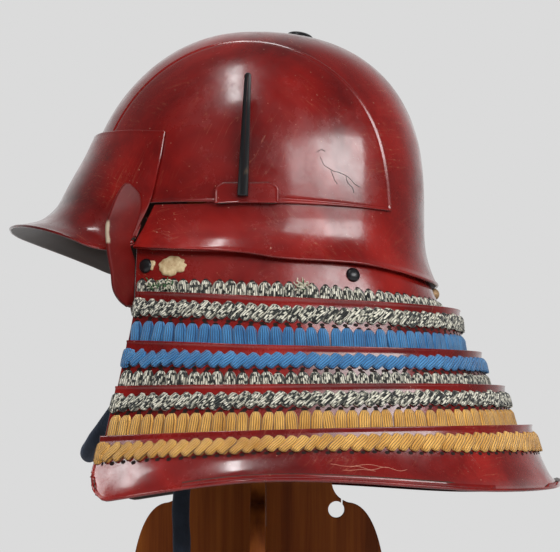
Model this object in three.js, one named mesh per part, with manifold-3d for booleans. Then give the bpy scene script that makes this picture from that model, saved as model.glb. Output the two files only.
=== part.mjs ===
// Kabuto samurai helmet on a wooden stand of two crossed boards.
// Millimetres, +Z up. The helmet faces -Y and the wearer's left is +X.
// The origin is on the floor, under the middle of the helmet.

import * as THREE from 'three';
import { mergeVertices } from 'three/addons/utils/BufferGeometryUtils.js';
import Module from 'manifold-3d';

const wasm = await Module();
wasm.setup();

const DEGREE = Math.PI / 180;

// ---------------------------------------------------------------------------
// Driving dimensions
// ---------------------------------------------------------------------------

// The bowl: half an egg standing on a short upright wall. The exponents make its sections squarer
// than ellipses; offsets below are counted outwards from its surface.
const bowl = {
  halfWidth: 98,
  halfLength: 121.6,
  height: 124.3,
  middleY: -19.9,
  equatorZ: 351,
  planPower: 2.2,
  frontPower: 1.95,
  rearPower: 2.43,
};

const pieceGap = 0.3;
// A flat-based fitting on the curved first lame stands this far off it at its middle.
const seatGap = 0.45;
const crown = { outer: 0, thickness: 2, tuck: 9, frontEnd: 160 };
const sidePlate = {
  outer: 2.2,
  thickness: 1.5,
  bottomFrontZ: 341,
  frontY: -96,
  middle: { y: -14, z: 385 },
};
// inside is a point that the whole brow plate turns its inner face to.
const brow = { outer: 4.6, thickness: 1.8, inside: [0, -60, 250] };
// The band's upper edge is level with the crown plate behind, is lapped under the side plates beside it
// and stops below their lower edge in front.
const band = {
  outer: -0.5,
  thickness: 2,
  rearTopZ: 350.7,
  sideTopZ: 345,
  frontTopZ: 339.4,
  flareStartZ: 330,
  flarePower: 2.2,
  frontLift: 3,
};

// Where the side plate ends on the crown plate: spread is the angle from the helmet's left-right axis,
// turn goes from the back (0) over the top (90) to the front (180).
const seam = [
  { turn: -12, spread: 48.5 },
  { turn: 10, spread: 46.8 },
  { turn: 35, spread: 47.2 },
  { turn: 55, spread: 48.7 },
  { turn: 70, spread: 51.6 },
  { turn: 85, spread: 56 },
  { turn: 100, spread: 58.6 },
  { turn: 120, spread: 59.6 },
  { turn: 160, spread: 59.8 },
];

// The brow plate, from the middle of the forehead (0) to its rear edge (1): the top edge's height and
// the rim of the peak.
const browStations = [
  { share: 0, topZ: 398, rimX: 0, rimY: -196.6, rimZ: 330 },
  { share: 0.16, topZ: 398, rimX: 28, rimY: -194.3, rimZ: 329.8 },
  { share: 0.32, topZ: 397.6, rimX: 53, rimY: -187, rimZ: 328.5 },
  { share: 0.48, topZ: 396.8, rimX: 74, rimY: -176, rimZ: 325.8 },
  { share: 0.62, topZ: 395.6, rimX: 89, rimY: -162, rimZ: 321.5 },
  { share: 0.75, topZ: 394.4, rimX: 96.5, rimY: -146, rimZ: 315.6 },
  { share: 0.86, topZ: 393, rimX: 96, rimY: -129, rimZ: 308.8 },
  { share: 0.94, topZ: 391.8, rimX: 89, rimY: -114.5, rimZ: 308 },
  { share: 1, topZ: 391, rimX: 80.5, rimY: -103, rimZ: 314 },
];

// How the forehead sweeps out into the peak: drop is the share of the way down, sweep the share of
// the way out from the bowl to the rim.
const browSweep = [
  { drop: 0, sweep: 0 },
  { drop: 0.21, sweep: 0.03 },
  { drop: 0.37, sweep: 0.095 },
  { drop: 0.54, sweep: 0.185 },
  { drop: 0.72, sweep: 0.3 },
  { drop: 0.82, sweep: 0.41 },
  { drop: 0.89, sweep: 0.53 },
  { drop: 0.93, sweep: 0.65 },
  { drop: 0.955, sweep: 0.78 },
  { drop: 0.975, sweep: 0.9 },
  { drop: 1, sweep: 1 },
];

// The brow plate's rear edge, as the angle from straight ahead at each height.
const browRear = [
  { z: 312, angle: 51.2 },
  { z: 324, angle: 54.8 },
  { z: 341, angle: 59 },
  { z: 366, angle: 60.4 },
  { z: 392, angle: 60.4 },
];

// The base band's lower rim, from the back (0) round to the front end.
const bandRim = [
  { angle: 0, z: 290.4, flare: 9.6 },
  { angle: 20, z: 290.4, flare: 9.6 },
  { angle: 30, z: 291.7, flare: 9.4 },
  { angle: 45, z: 295.4, flare: 9 },
  { angle: 56, z: 298.2, flare: 8.8 },
  { angle: 66, z: 299.2, flare: 8.6 },
  { angle: 76, z: 299.9, flare: 8.4 },
  { angle: 84, z: 301.4, flare: 8.2 },
  { angle: 91, z: 304, flare: 8.2 },
  { angle: 100, z: 306, flare: 8 },
  { angle: 111, z: 307.4, flare: 7.2 },
  { angle: 123, z: 309.2, flare: 5 },
  { angle: 129, z: 310.8, flare: 3.5 },
];
// The band's front end leans forward towards its rim.
const bandFront = [
  { down: 0, angle: 122.4 },
  { down: 0.5, angle: 126.2 },
  { down: 0.8, angle: 128.4 },
  { down: 1, angle: 129 },
];

// The neck guard. Each lame is a strip bent round the neck, open at the front, given by sections from
// its top edge down: half-width, reach behind, the front end's place, and the height at the front,
// at the side, at the rear quarter and at the back.
const neck = { widestY: -10, planPower: 2.2, thickness: 2.6, middle: [0, 0, 260] };
const lames = {
  neck_lame_1: [
    { down: 0, half: 98, back: 103, frontX: 77.5, frontY: -101, front: 313, side: 311, quarter: 302, rear: 296 },
    { down: 0.4, half: 101.6, back: 109, frontX: 78.5, frontY: -101.5, front: 295, side: 292, quarter: 286, rear: 283 },
    { down: 1, half: 105.6, back: 116.6, frontX: 80.5, frontY: -102, front: 271, side: 266, quarter: 263, rear: 264.5 },
  ],
  neck_lame_2: [
    { down: 0, half: 112, back: 126, frontX: 88, frontY: -99.8, front: 280.5, side: 275, quarter: 272.5, rear: 274 },
    { down: 0.5, half: 113.6, back: 127.6, frontX: 90, frontY: -103, front: 260, side: 254, quarter: 253, rear: 254.5 },
    { down: 1, half: 115, back: 130.6, frontX: 92, frontY: -107, front: 238, side: 233, quarter: 232.5, rear: 234.5 },
  ],
  neck_lame_3: [
    { down: 0, half: 122, back: 141, frontX: 98.5, frontY: -105.4, front: 246.5, side: 242, quarter: 241.5, rear: 244 },
    { down: 0.5, half: 124.4, back: 144.6, frontX: 101, frontY: -109.5, front: 226, side: 224, quarter: 225, rear: 227.5 },
    { down: 1, half: 126.8, back: 149, frontX: 103.5, frontY: -113.6, front: 205.5, side: 206, quarter: 208, rear: 210.5 },
  ],
  neck_lame_4: [
    { down: 0, half: 133, back: 157, frontX: 110, frontY: -112, front: 215, side: 215.3, quarter: 217.5, rear: 220 },
    { down: 0.5, half: 136, back: 161.6, frontX: 112.6, frontY: -116.4, front: 194, side: 196, quarter: 199, rear: 202 },
    { down: 1, half: 139.4, back: 166.6, frontX: 115, frontY: -120.6, front: 173, side: 176, quarter: 180, rear: 184 },
  ],
  neck_lame_5: [
    { down: 0, half: 146.4, back: 176, frontX: 122, frontY: -121, front: 181.5, side: 185, quarter: 189, rear: 193 },
    { down: 0.34, half: 150, back: 180.4, frontX: 125, frontY: -124, front: 166.5, side: 172.5, quarter: 174, rear: 177 },
    { down: 0.58, half: 154, back: 184.6, frontX: 128, frontY: -126, front: 154.5, side: 164, quarter: 163.4, rear: 166 },
    { down: 0.8, half: 160, back: 190, frontX: 131.4, frontY: -125.8, front: 144.5, side: 157, quarter: 152.6, rear: 156 },
    { down: 1, half: 167.6, back: 197, frontX: 134.4, frontY: -124.6, front: 136.4, side: 151.6, quarter: 145, rear: 150.2 },
  ],
};
const hemCorner = { radius: 13 };

// The ear pieces: sections of the turned-back leaf, from its foot up to its tip. The foot's rear edge
// runs into the first lame; higher up the leaf stands clear outside the peak.
const ear = { thickness: 2.8, inside: [0, -60, 310] };
const earSections = [
  { z: 269.5, rearX: 80.6, rearY: -101.6, frontX: 84, frontY: -103.5 },
  { z: 273, rearX: 80.6, rearY: -101.4, frontX: 91, frontY: -109.6 },
  { z: 280, rearX: 80.2, rearY: -101.2, frontX: 97, frontY: -113.8 },
  { z: 292, rearX: 79.2, rearY: -101, frontX: 100, frontY: -115.3 },
  { z: 302, rearX: 78.6, rearY: -101, frontX: 102, frontY: -117 },
  { z: 307, rearX: 81.5, rearY: -102.4, frontX: 102.8, frontY: -117.8 },
  { z: 312, rearX: 86.5, rearY: -103.6, frontX: 103.4, frontY: -118.4 },
  { z: 318, rearX: 88, rearY: -102, frontX: 104, frontY: -119 },
  { z: 324, rearX: 89, rearY: -99.6, frontX: 104, frontY: -119 },
  { z: 332, rearX: 90, rearY: -97, frontX: 103.5, frontY: -116.8 },
  { z: 340, rearX: 91, rearY: -96, frontX: 102, frontY: -114.2 },
  { z: 347, rearX: 92.5, rearY: -97.6, frontX: 100.4, frontY: -111 },
  { z: 351.5, rearX: 95, rearY: -101.6, frontX: 98.8, frontY: -108.2 },
  { z: 353.6, rearX: 96.6, rearY: -104.4, frontX: 97.6, frontY: -106.2 },
];

// Each row of lacing lies on a lame, between two shares of the lame's height.
const lacing = { standOff: 0.5, thickness: 1.9, endInset: 3 };
const lacingRows = [
  { name: 'lacing_row_1', lame: 'neck_lame_1', from: 0.56, to: 0.9, colour: 'mixed' },
  { name: 'lacing_row_2', lame: 'neck_lame_2', from: 0.11, to: 0.44, colour: 'mixed' },
  { name: 'lacing_row_3', lame: 'neck_lame_2', from: 0.5, to: 0.93, colour: 'blue' },
  { name: 'lacing_row_4', lame: 'neck_lame_3', from: 0.14, to: 0.47, colour: 'blue' },
  { name: 'lacing_row_5', lame: 'neck_lame_3', from: 0.52, to: 0.92, colour: 'mixed' },
  { name: 'lacing_row_6', lame: 'neck_lame_4', from: 0.12, to: 0.44, colour: 'mixed' },
  { name: 'lacing_row_7', lame: 'neck_lame_4', from: 0.48, to: 0.92, colour: 'gold' },
  { name: 'lacing_row_8', lame: 'neck_lame_5', from: 0.1, to: 0.43, colour: 'gold' },
];

// Crest fittings on the bowl's sides.
const prongPlate = { rearY: -3.5, frontY: -46, bottomZ: 338.8, topZ: 353, corner: 6, thickness: 1 };
const prong = { length: 84, footWidth: 7.4, tipWidth: 4.6, thickness: 4, holeRadius: 0.9, lean: 2.4, y: -27.4,
  bottomZ: 343.6 };
const crownDisc = { radius: 10.5, height: 4.4, y: 12.2 };

// Fixings on the neck guard's first lame.
const rivet = { radius: 5, height: 2.6 };
const rivets = [
  { name: 'rivet_front', angle: 125, z: 298 },
  { name: 'rivet_side', angle: 60.6, z: 291 },
];
const rearRivet = { radius: 4.4, height: 4.6, z: 285.6 };
// arcPerDegree is the length of the lame's surface in a degree of plan angle there.
const leatherPatch = { angle: 116.3, z: 297, width: 14.8, height: 14, thickness: 0.9, corners: 14,
  arcPerDegree: 1.72 };

// The chin cord. The loop's route runs from the left knot down and forward to under the chin; the
// right half mirrors it. The tail hangs straight down from the left knot.
const cord = { diameter: 12, sides: 8, stepLength: 14 };
const cordRing = { radius: 8, wire: 1.6, x: 77, y: -68.5, z: 300.4 };
const cordKnot = { radius: 8.6, z: 283.5 };
const endKnot = { radius: 8.8, z: 86.5 };
const loopRoute = [
  [77, -79.8, 281.4],
  [76.8, -84.4, 275.4],
  [75.5, -88, 262],
  [73, -93.5, 245],
  [69, -100, 227],
  [63.5, -108.5, 209.5],
  [55.5, -118.6, 194.5],
  [43, -128.4, 183],
  [28, -134.8, 175.6],
  [12, -137.8, 172.2],
  [0, -138.4, 171.5],
];

// The stand: two boards of one outline, halved into each other.
const stand = {
  y: -17.5,
  thickness: 10.4,
  baseHalf: 91,
  neckHalf: 52,
  shoulderZ: 136,
  roundingZ: 60,
  roundingTopZ: 96,
  roundingX: 84,
  shelf: 12,
  neckRise: 5,
  neckZ: 154,
  eye: { fromMiddle: 55.4, z: 132, radius: 5.8 },
  slit: { width: 1.2, height: 16, aside: 4, up: 10 },
  halvingZ: 120,
  topClearance: 1.2,
};

const colours = {
  red: { color: 0x6b1216, roughness: 0.25, metalness: 0 },
  black: { color: 0x14110f, roughness: 0.35, metalness: 0.2 },
  mixed: { color: 0x8c8a7c, roughness: 0.9, metalness: 0 },
  blue: { color: 0x2f6fae, roughness: 0.9, metalness: 0 },
  gold: { color: 0xc98a2c, roughness: 0.9, metalness: 0 },
  leather: { color: 0xd9c08a, roughness: 0.8, metalness: 0 },
  navy: { color: 0x121a26, roughness: 0.95, metalness: 0 },
  wood: { color: 0xa14e17, roughness: 0.5, metalness: 0 },
  gilt: { color: 0xc7a35a, roughness: 0.6, metalness: 0 },
};

// ---------------------------------------------------------------------------
// Small tools
// ---------------------------------------------------------------------------

const lerp = THREE.MathUtils.lerp;
const clamp = THREE.MathUtils.clamp;

// A smooth curve through a table's rows: the named column at a value of the key column.
function along(rows, key, column, at) {
  const last = rows.length - 1;
  const slope = (j) => {
    const before = rows[Math.max(j - 1, 0)];
    const after = rows[Math.min(j + 1, last)];
    return (after[column] - before[column]) / (after[key] - before[key]);
  };
  let i = 0;
  while (i < last - 1 && at > rows[i + 1][key]) i += 1;
  const span = rows[i + 1][key] - rows[i][key];
  const t = clamp((at - rows[i][key]) / span, 0, 1);
  const rise = rows[i + 1][column] - rows[i][column];
  const startSlope = slope(i) * span;
  const endSlope = slope(i + 1) * span;
  const bend = startSlope + endSlope - 2 * rise;
  return rows[i][column] + t * (startSlope + t * (3 * rise - 2 * startSlope - endSlope + t * bend));
}

// Numbers from start to end in equal steps.
function steps(start, end, count) {
  return Array.from({ length: count + 1 }, (_, i) => lerp(start, end, i / count));
}

// A geometry from points and triangles, turned inside out if its faces point inwards.
function closedGeometry(points, triangles) {
  let volume = 0;
  for (const [a, b, c] of triangles) {
    volume += points[a].dot(points[b].clone().cross(points[c]));
  }
  const facing = volume > 0 ? triangles : triangles.map(([a, b, c]) => [a, c, b]);
  const geometry = new THREE.BufferGeometry().setFromPoints(points);
  geometry.setIndex(facing.flat());
  return geometry;
}

// A closed solid between two grids of points that face each other.
function solidBetween(outer, inner) {
  const rows = outer.length;
  const columns = outer[0].length;
  const points = [...outer.flat(), ...inner.flat()];
  const top = (i, j) => i * columns + j;
  const under = (i, j) => rows * columns + i * columns + j;
  const triangles = [];
  const quad = (a, b, c, d) => triangles.push([a, b, c], [a, c, d]);
  for (let i = 0; i < rows - 1; i += 1) {
    for (let j = 0; j < columns - 1; j += 1) {
      quad(top(i, j), top(i, j + 1), top(i + 1, j + 1), top(i + 1, j));
      quad(under(i, j), under(i + 1, j), under(i + 1, j + 1), under(i, j + 1));
    }
    quad(top(i, 0), top(i + 1, 0), under(i + 1, 0), under(i, 0));
    quad(top(i + 1, columns - 1), top(i, columns - 1), under(i, columns - 1), under(i + 1, columns - 1));
  }
  for (let j = 0; j < columns - 1; j += 1) {
    quad(top(0, j + 1), top(0, j), under(0, j), under(0, j + 1));
    quad(top(rows - 1, j), top(rows - 1, j + 1), under(rows - 1, j + 1), under(rows - 1, j));
  }
  return closedGeometry(points, triangles);
}

// The same grid moved by a distance along its own normals; away marks the outer side.
function shifted(grid, distance, away) {
  const rows = grid.length;
  const columns = grid[0].length;
  return grid.map((row, i) => row.map((point, j) => {
    const across = grid[Math.min(i + 1, rows - 1)][j].clone().sub(grid[Math.max(i - 1, 0)][j]);
    const sideways = row[Math.min(j + 1, columns - 1)].clone().sub(row[Math.max(j - 1, 0)]);
    const normal = across.cross(sideways).normalize();
    if (normal.dot(point.clone().sub(away)) < 0) normal.negate();
    return point.clone().addScaledVector(normal, distance);
  }));
}

// A round-edged patch: rings of points between a middle and a closed rim.
function solidPatch(rimCount, rings, place) {
  const points = [];
  const triangles = [];
  for (const side of [0, 1]) {
    points.push(place(0, 0, side));
    for (let k = 1; k <= rings; k += 1) {
      for (let j = 0; j < rimCount; j += 1) points.push(place(j, k / rings, side));
    }
  }
  const sheetSize = 1 + rings * rimCount;
  const at = (side, k, j) => side * sheetSize + (k === 0 ? 0 : 1 + (k - 1) * rimCount + (j % rimCount));
  for (let j = 0; j < rimCount; j += 1) {
    for (let k = 0; k < rings; k += 1) {
      const near = [at(0, k, j), at(0, k + 1, j), at(0, k + 1, j + 1), at(0, k, j + 1)];
      const far = [at(1, k, j), at(1, k, j + 1), at(1, k + 1, j + 1), at(1, k + 1, j)];
      triangles.push([near[0], near[1], near[2]], [far[0], far[2], far[3]]);
      if (k > 0) triangles.push([near[0], near[2], near[3]], [far[0], far[1], far[2]]);
    }
    const [a, b] = [at(0, rings, j), at(0, rings, j + 1)];
    const [c, d] = [at(1, rings, j + 1), at(1, rings, j)];
    triangles.push([b, a, d], [b, d, c]);
  }
  return closedGeometry(points, triangles);
}

// Boolean cuts and joins go through these two.
function toSolid(geometry) {
  const bare = geometry.clone();
  bare.deleteAttribute('normal');
  bare.deleteAttribute('uv');
  const merged = mergeVertices(bare, 1e-4);
  return new wasm.Manifold(new wasm.Mesh({
    numProp: 3,
    vertProperties: new Float32Array(merged.attributes.position.array),
    triVerts: new Uint32Array(merged.index.array),
  }));
}

function fromSolid(solid) {
  const mesh = solid.getMesh();
  const geometry = new THREE.BufferGeometry();
  geometry.setAttribute('position', new THREE.BufferAttribute(mesh.vertProperties, 3));
  geometry.setIndex(new THREE.BufferAttribute(mesh.triVerts, 1));
  return geometry;
}

const helmet = new THREE.Group();

function addMesh(parent, name, geometry, colour) {
  const mesh = new THREE.Mesh(geometry, new THREE.MeshStandardMaterial(colours[colour]));
  mesh.name = name;
  parent.add(mesh);
  return mesh;
}

// ---------------------------------------------------------------------------
// The bowl's surface
// ---------------------------------------------------------------------------

// How far the bowl's surface lies along a unit direction, as a share of its half-sizes.
function bowlReach(direction) {
  const plan = (Math.abs(direction.x) ** bowl.planPower + Math.abs(direction.y) ** bowl.planPower)
    ** (1 / bowl.planPower);
  if (direction.z <= 0) return 1 / plan;
  const power = lerp(bowl.frontPower, bowl.rearPower, THREE.MathUtils.smoothstep(direction.y, -1, 1));
  return (plan ** power + direction.z ** power) ** (-1 / power);
}

// The bowl's surface in a direction, moved outwards by an offset.
function bowlPoint(direction, offset) {
  const reach = bowlReach(direction);
  const lift = direction.z > 0 ? bowl.height + offset : bowl.height;
  return new THREE.Vector3(
    (bowl.halfWidth + offset) * direction.x * reach,
    bowl.middleY + (bowl.halfLength + offset) * direction.y * reach,
    bowl.equatorZ + lift * direction.z * reach,
  );
}

// The direction with a given turn over the top and spread from the left-right axis.
function overTop(turn, spread) {
  return new THREE.Vector3(
    Math.cos(spread * DEGREE),
    Math.sin(spread * DEGREE) * Math.cos(turn * DEGREE),
    Math.sin(spread * DEGREE) * Math.sin(turn * DEGREE),
  );
}

// The direction at a plan angle from the back whose surface point is at a given height.
function aroundAt(angle, z) {
  const flat = { x: Math.sin(angle * DEGREE), y: Math.cos(angle * DEGREE) };
  let low = -80 * DEGREE;
  let high = 89.9 * DEGREE;
  const aim = (tilt) => new THREE.Vector3(
    flat.x * Math.cos(tilt),
    flat.y * Math.cos(tilt),
    Math.sin(tilt),
  );
  for (let i = 0; i < 50; i += 1) {
    const middle = (low + high) / 2;
    if (bowlPoint(aim(middle), 0).z < z) low = middle;
    else high = middle;
  }
  return aim((low + high) / 2);
}

// The direction on the left half of the bowl whose surface point has a given y and z.
function besideAt(y, z) {
  let low = 0;
  let high = 90;
  const flatAngle = (angle) => bowlPoint(aroundAt(angle, z), 0);
  const forward = y < bowl.middleY;
  for (let i = 0; i < 40; i += 1) {
    const middle = (low + high) / 2;
    const reached = flatAngle(forward ? 180 - middle : middle).y;
    if (forward ? reached < y : reached > y) low = middle;
    else high = middle;
  }
  return aroundAt(forward ? 180 - low : low, z);
}

// The top of the bowl over a point of its plan.
function bowlTop(x, y, offset) {
  let low = bowl.equatorZ;
  let high = bowl.equatorZ + bowl.height + offset;
  for (let i = 0; i < 40; i += 1) {
    const z = (low + high) / 2;
    const aim = new THREE.Vector3(
      x / (bowl.halfWidth + offset),
      (y - bowl.middleY) / (bowl.halfLength + offset),
      (z - bowl.equatorZ) / (bowl.height + offset),
    );
    const length = aim.length();
    if (length < bowlReach(aim.divideScalar(length))) low = z;
    else high = z;
  }
  return low;
}

// ---------------------------------------------------------------------------
// Bowl plates
// ---------------------------------------------------------------------------

function crownPlate() {
  const grid = (offset) => steps(0.4, crown.frontEnd, 22).map((turn) => {
    const edge = along(seam, 'turn', 'spread', turn) - crown.tuck;
    return steps(edge, 180 - edge, 12).map((spread) => bowlPoint(overTop(turn, spread), offset));
  });
  return solidBetween(grid(crown.outer), grid(crown.outer - crown.thickness));
}

// The side plate's outline: up the seam from the bottom rear corner, down its front end under the brow
// plate, and back along the bottom edge.
function sidePlateRim() {
  const seamTurns = [-8.2, -2, 5, 13, ...steps(22, 158, 17)];
  const rim = seamTurns.map((turn) => overTop(turn, along(seam, 'turn', 'spread', turn)));
  const bottomRear = bowlPoint(rim[0], 0);
  const seamEnd = rim[rim.length - 1];
  const bottomFront = besideAt(sidePlate.frontY, sidePlate.bottomFrontZ);
  for (const share of steps(0, 1, 5).slice(1)) {
    rim.push(seamEnd.clone().lerp(bottomFront, share).normalize());
  }
  for (const share of steps(0, 1, 11).slice(1, -1)) {
    const y = lerp(sidePlate.frontY, bottomRear.y, share);
    rim.push(besideAt(y, lerp(sidePlate.bottomFrontZ, bottomRear.z, share)));
  }
  return rim;
}

function sidePlateSolid(side) {
  const rim = sidePlateRim();
  const middle = besideAt(sidePlate.middle.y, sidePlate.middle.z);
  const offsets = [sidePlate.outer, sidePlate.outer - sidePlate.thickness];
  return solidPatch(rim.length, 6, (j, share, layer) => {
    const direction = middle.clone().lerp(rim[j], share).normalize();
    const point = bowlPoint(direction, offsets[layer]);
    point.x *= side;
    return point;
  });
}

function browPoint(share, drop) {
  const across = Math.abs(share);
  const topZ = along(browStations, 'share', 'topZ', across);
  const rim = new THREE.Vector3(
    along(browStations, 'share', 'rimX', across),
    along(browStations, 'share', 'rimY', across),
    along(browStations, 'share', 'rimZ', across),
  );
  const z = lerp(topZ, rim.z, drop);
  const angle = across * along(browRear, 'z', 'angle', z);
  const point = bowlPoint(aroundAt(180 - angle, z), brow.outer);
  const foot = bowlPoint(aroundAt(180 - angle, rim.z), brow.outer);
  point.z = z;
  const sweep = along(browSweep, 'drop', 'sweep', drop);
  point.x += sweep * (rim.x - foot.x);
  point.y += sweep * (rim.y - foot.y);
  if (share < 0) point.x *= -1;
  return point;
}

function browPlate() {
  const drops = [0, 0.13, 0.27, 0.42, 0.57, 0.7, 0.8, 0.87, 0.92, 0.96, 1];
  const outer = drops.map((drop) => steps(-1, 1, 24).map((share) => browPoint(share, drop)));
  const inner = shifted(outer, -brow.thickness, new THREE.Vector3(...brow.inside));
  return solidBetween(outer, inner);
}

// A point of the band at a plan angle from the back, down from its upper edge (0) to its rim (1).
function bandPoint(angle, down, offset) {
  const around = Math.abs(angle);
  const rimZ = along(bandRim, 'angle', 'z', around);
  const sideTop = lerp(band.rearTopZ, band.sideTopZ, THREE.MathUtils.smoothstep(around, 33, 42));
  const topZ = lerp(sideTop, band.frontTopZ, THREE.MathUtils.smoothstep(around, 98, 106));
  const z = lerp(topZ, rimZ, down);
  const flareShare = clamp((band.flareStartZ - z) / (band.flareStartZ - rimZ), 0, 1);
  const lift = band.frontLift * THREE.MathUtils.smoothstep(around, 108, 124);
  const outward = lift + along(bandRim, 'angle', 'flare', around) * flareShare ** band.flarePower;
  const point = bowlPoint(aroundAt(around, z), outward + offset);
  if (angle < 0) point.x *= -1;
  return point;
}

function baseBand() {
  const rows = [0, 0.35, 0.62, 0.84, 1];
  const grid = (offset) => rows.map((down) => steps(-1, 1, 36).map((share) => {
    const end = along(bandFront, 'down', 'angle', down);
    return bandPoint(end * share, down, offset);
  }));
  return solidBetween(grid(band.outer), grid(band.outer - band.thickness));
}

// ---------------------------------------------------------------------------
// Neck guard
// ---------------------------------------------------------------------------

// A point of a lame: share runs from the left front end (-1) round the back to the right (1), down
// from the top edge (0) to the bottom (1).
function lamePoint(name, share, down, offset) {
  const rows = lames[name];
  const at = (column) => along(rows, 'down', column, down);
  const half = at('half');
  const frontX = at('frontX');
  const ahead = (neck.widestY - at('frontY'))
    / (1 - (frontX / half) ** neck.planPower) ** (1 / neck.planPower);
  const endAngle = Math.atan2(frontX / half, -(neck.widestY - at('frontY')) / ahead) / DEGREE;
  const around = Math.abs(share) * endAngle;
  const direction = { x: Math.sin(around * DEGREE), y: Math.cos(around * DEGREE) };
  const reach = (direction.x ** neck.planPower + Math.abs(direction.y) ** neck.planPower)
    ** (-1 / neck.planPower);
  const lengthwise = direction.y > 0 ? at('back') - neck.widestY : ahead;
  const heights = [
    { angle: 0, z: at('rear') },
    { angle: 45, z: at('quarter') },
    { angle: 90, z: at('side') },
    { angle: endAngle, z: at('front') },
  ];
  return new THREE.Vector3(
    Math.sign(share) * (half + offset) * direction.x * reach,
    neck.widestY + (lengthwise + offset) * direction.y * reach,
    along(heights, 'angle', 'z', around),
  );
}

// The hem's front corners are rounded: the lower edge rises by this much near the ends.
function cornerRise(distance) {
  const left = clamp(hemCorner.radius - distance, 0, hemCorner.radius);
  return hemCorner.radius - Math.sqrt(hemCorner.radius ** 2 - left ** 2);
}

function lameGrid(name, downs, shares) {
  const rounded = name === 'neck_lame_5';
  return downs.map((down) => shares.map((share) => {
    const point = lamePoint(name, share, down, 0);
    if (!rounded) return point;
    const end = lamePoint(name, Math.sign(share || 1), down, 0);
    point.z += down ** 2 * cornerRise(point.distanceTo(end));
    return point;
  }));
}

// Where a lame's facets meet, from end to end; the last lame has more near its rounded corners.
function lameShares(name) {
  if (name !== 'neck_lame_5') return steps(-1, 1, 26);
  return [-1, -0.992, -0.975, -0.945, ...steps(-0.9, 0.9, 26), 0.945, 0.975, 0.992, 1];
}

function lameSolid(name) {
  const shares = lameShares(name);
  const downs = name === 'neck_lame_5' ? [0, 0.34, 0.58, 0.8, 1] : [0, 0.5, 1];
  const outer = lameGrid(name, downs, shares);
  const inner = shifted(outer, -neck.thickness, new THREE.Vector3(...neck.middle));
  return solidBetween(outer, inner);
}

function earSolid(side) {
  const outer = earSections.map((row) => steps(0, 1, 4).map((share) => new THREE.Vector3(
    side * lerp(row.rearX, row.frontX, share),
    lerp(row.rearY, row.frontY, share),
    row.z,
  )));
  const inside = new THREE.Vector3(...ear.inside);
  return solidBetween(outer, shifted(outer, -ear.thickness, inside));
}

function firstLame() {
  const ring = toSolid(lameSolid('neck_lame_1'));
  return fromSolid(ring.add(toSolid(earSolid(1))).add(toSolid(earSolid(-1))));
}

function lacingSolid(row) {
  const corner = lamePoint(row.lame, 1, row.from, 0);
  const end = 1 - lacing.endInset / (Math.abs(corner.x) + 2 * Math.abs(corner.y));
  const shares = [-end, ...lameShares(row.lame).filter((share) => Math.abs(share) < end), end];
  const grid = (offset) => [row.from, row.to]
    .map((down) => shares.map((share) => lamePoint(row.lame, share, down, offset)));
  return solidBetween(grid(lacing.standOff + lacing.thickness), grid(lacing.standOff));
}

// ---------------------------------------------------------------------------
// Fittings
// ---------------------------------------------------------------------------

// A low dome, flat underneath, standing on +Y.
function domeGeometry(radius, height) {
  const profile = [new THREE.Vector2(0, 0), new THREE.Vector2(radius, 0)];
  for (const angle of [30, 60]) {
    profile.push(new THREE.Vector2(
      radius * Math.cos(angle * DEGREE),
      height * Math.sin(angle * DEGREE),
    ));
  }
  profile.push(new THREE.Vector2(0, height));
  return new THREE.LatheGeometry(profile, 10);
}

// Sets a mesh on a point with its +Y along the outward normal.
function seat(mesh, point, normal, clearance) {
  mesh.position.copy(point).addScaledVector(normal, clearance);
  mesh.quaternion.setFromUnitVectors(new THREE.Vector3(0, 1, 0), normal);
}

// The place and normal on the first lame at a plan angle from the back and a height. The lame's front
// end lies at its frontAngle.
const frontAngle = 129;

function onFirstLame(angle, z) {
  const place = (turn, height) => {
    let low = 0;
    let high = 1;
    for (let i = 0; i < 30; i += 1) {
      const down = (low + high) / 2;
      if (lamePoint('neck_lame_1', turn, down, 0).z > height) low = down;
      else high = down;
    }
    return lamePoint('neck_lame_1', turn, low, 0);
  };
  const share = angle / frontAngle;
  const point = place(share, z);
  const sideways = place(share + 0.01, z).sub(place(share - 0.01, z));
  const upward = place(share, z + 1).sub(place(share, z - 1));
  const normal = sideways.cross(upward).normalize();
  if (normal.y * point.y + normal.x * point.x < 0) normal.negate();
  return { point, normal };
}

function mirrored(vector) {
  return new THREE.Vector3(-vector.x, vector.y, vector.z);
}

function addRivets(parent) {
  for (const { name, angle, z } of rivets) {
    const { point, normal } = onFirstLame(angle, z);
    const left = addMesh(parent, `${name}_left`, domeGeometry(rivet.radius, rivet.height), 'black');
    const right = addMesh(parent, `${name}_right`, domeGeometry(rivet.radius, rivet.height), 'black');
    seat(left, point, normal, seatGap);
    seat(right, mirrored(point), mirrored(normal), seatGap);
  }
  const rear = onFirstLame(0, rearRivet.z);
  const knob = addMesh(parent, 'rear_rivet', domeGeometry(rearRivet.radius, rearRivet.height), 'gilt');
  seat(knob, rear.point, rear.normal, seatGap);
}

function patchSolid() {
  const { angle, z, width, height, thickness, corners, arcPerDegree } = leatherPatch;
  return solidPatch(corners, 1, (j, share, layer) => {
    const turn = (j / corners) * 2 * Math.PI;
    const here = onFirstLame(
      angle + (share * width * 0.5 * Math.cos(turn)) / arcPerDegree,
      z + share * height * 0.5 * Math.sin(turn),
    );
    return here.point.addScaledVector(here.normal, pieceGap + (layer === 0 ? thickness : 0));
  });
}

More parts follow.
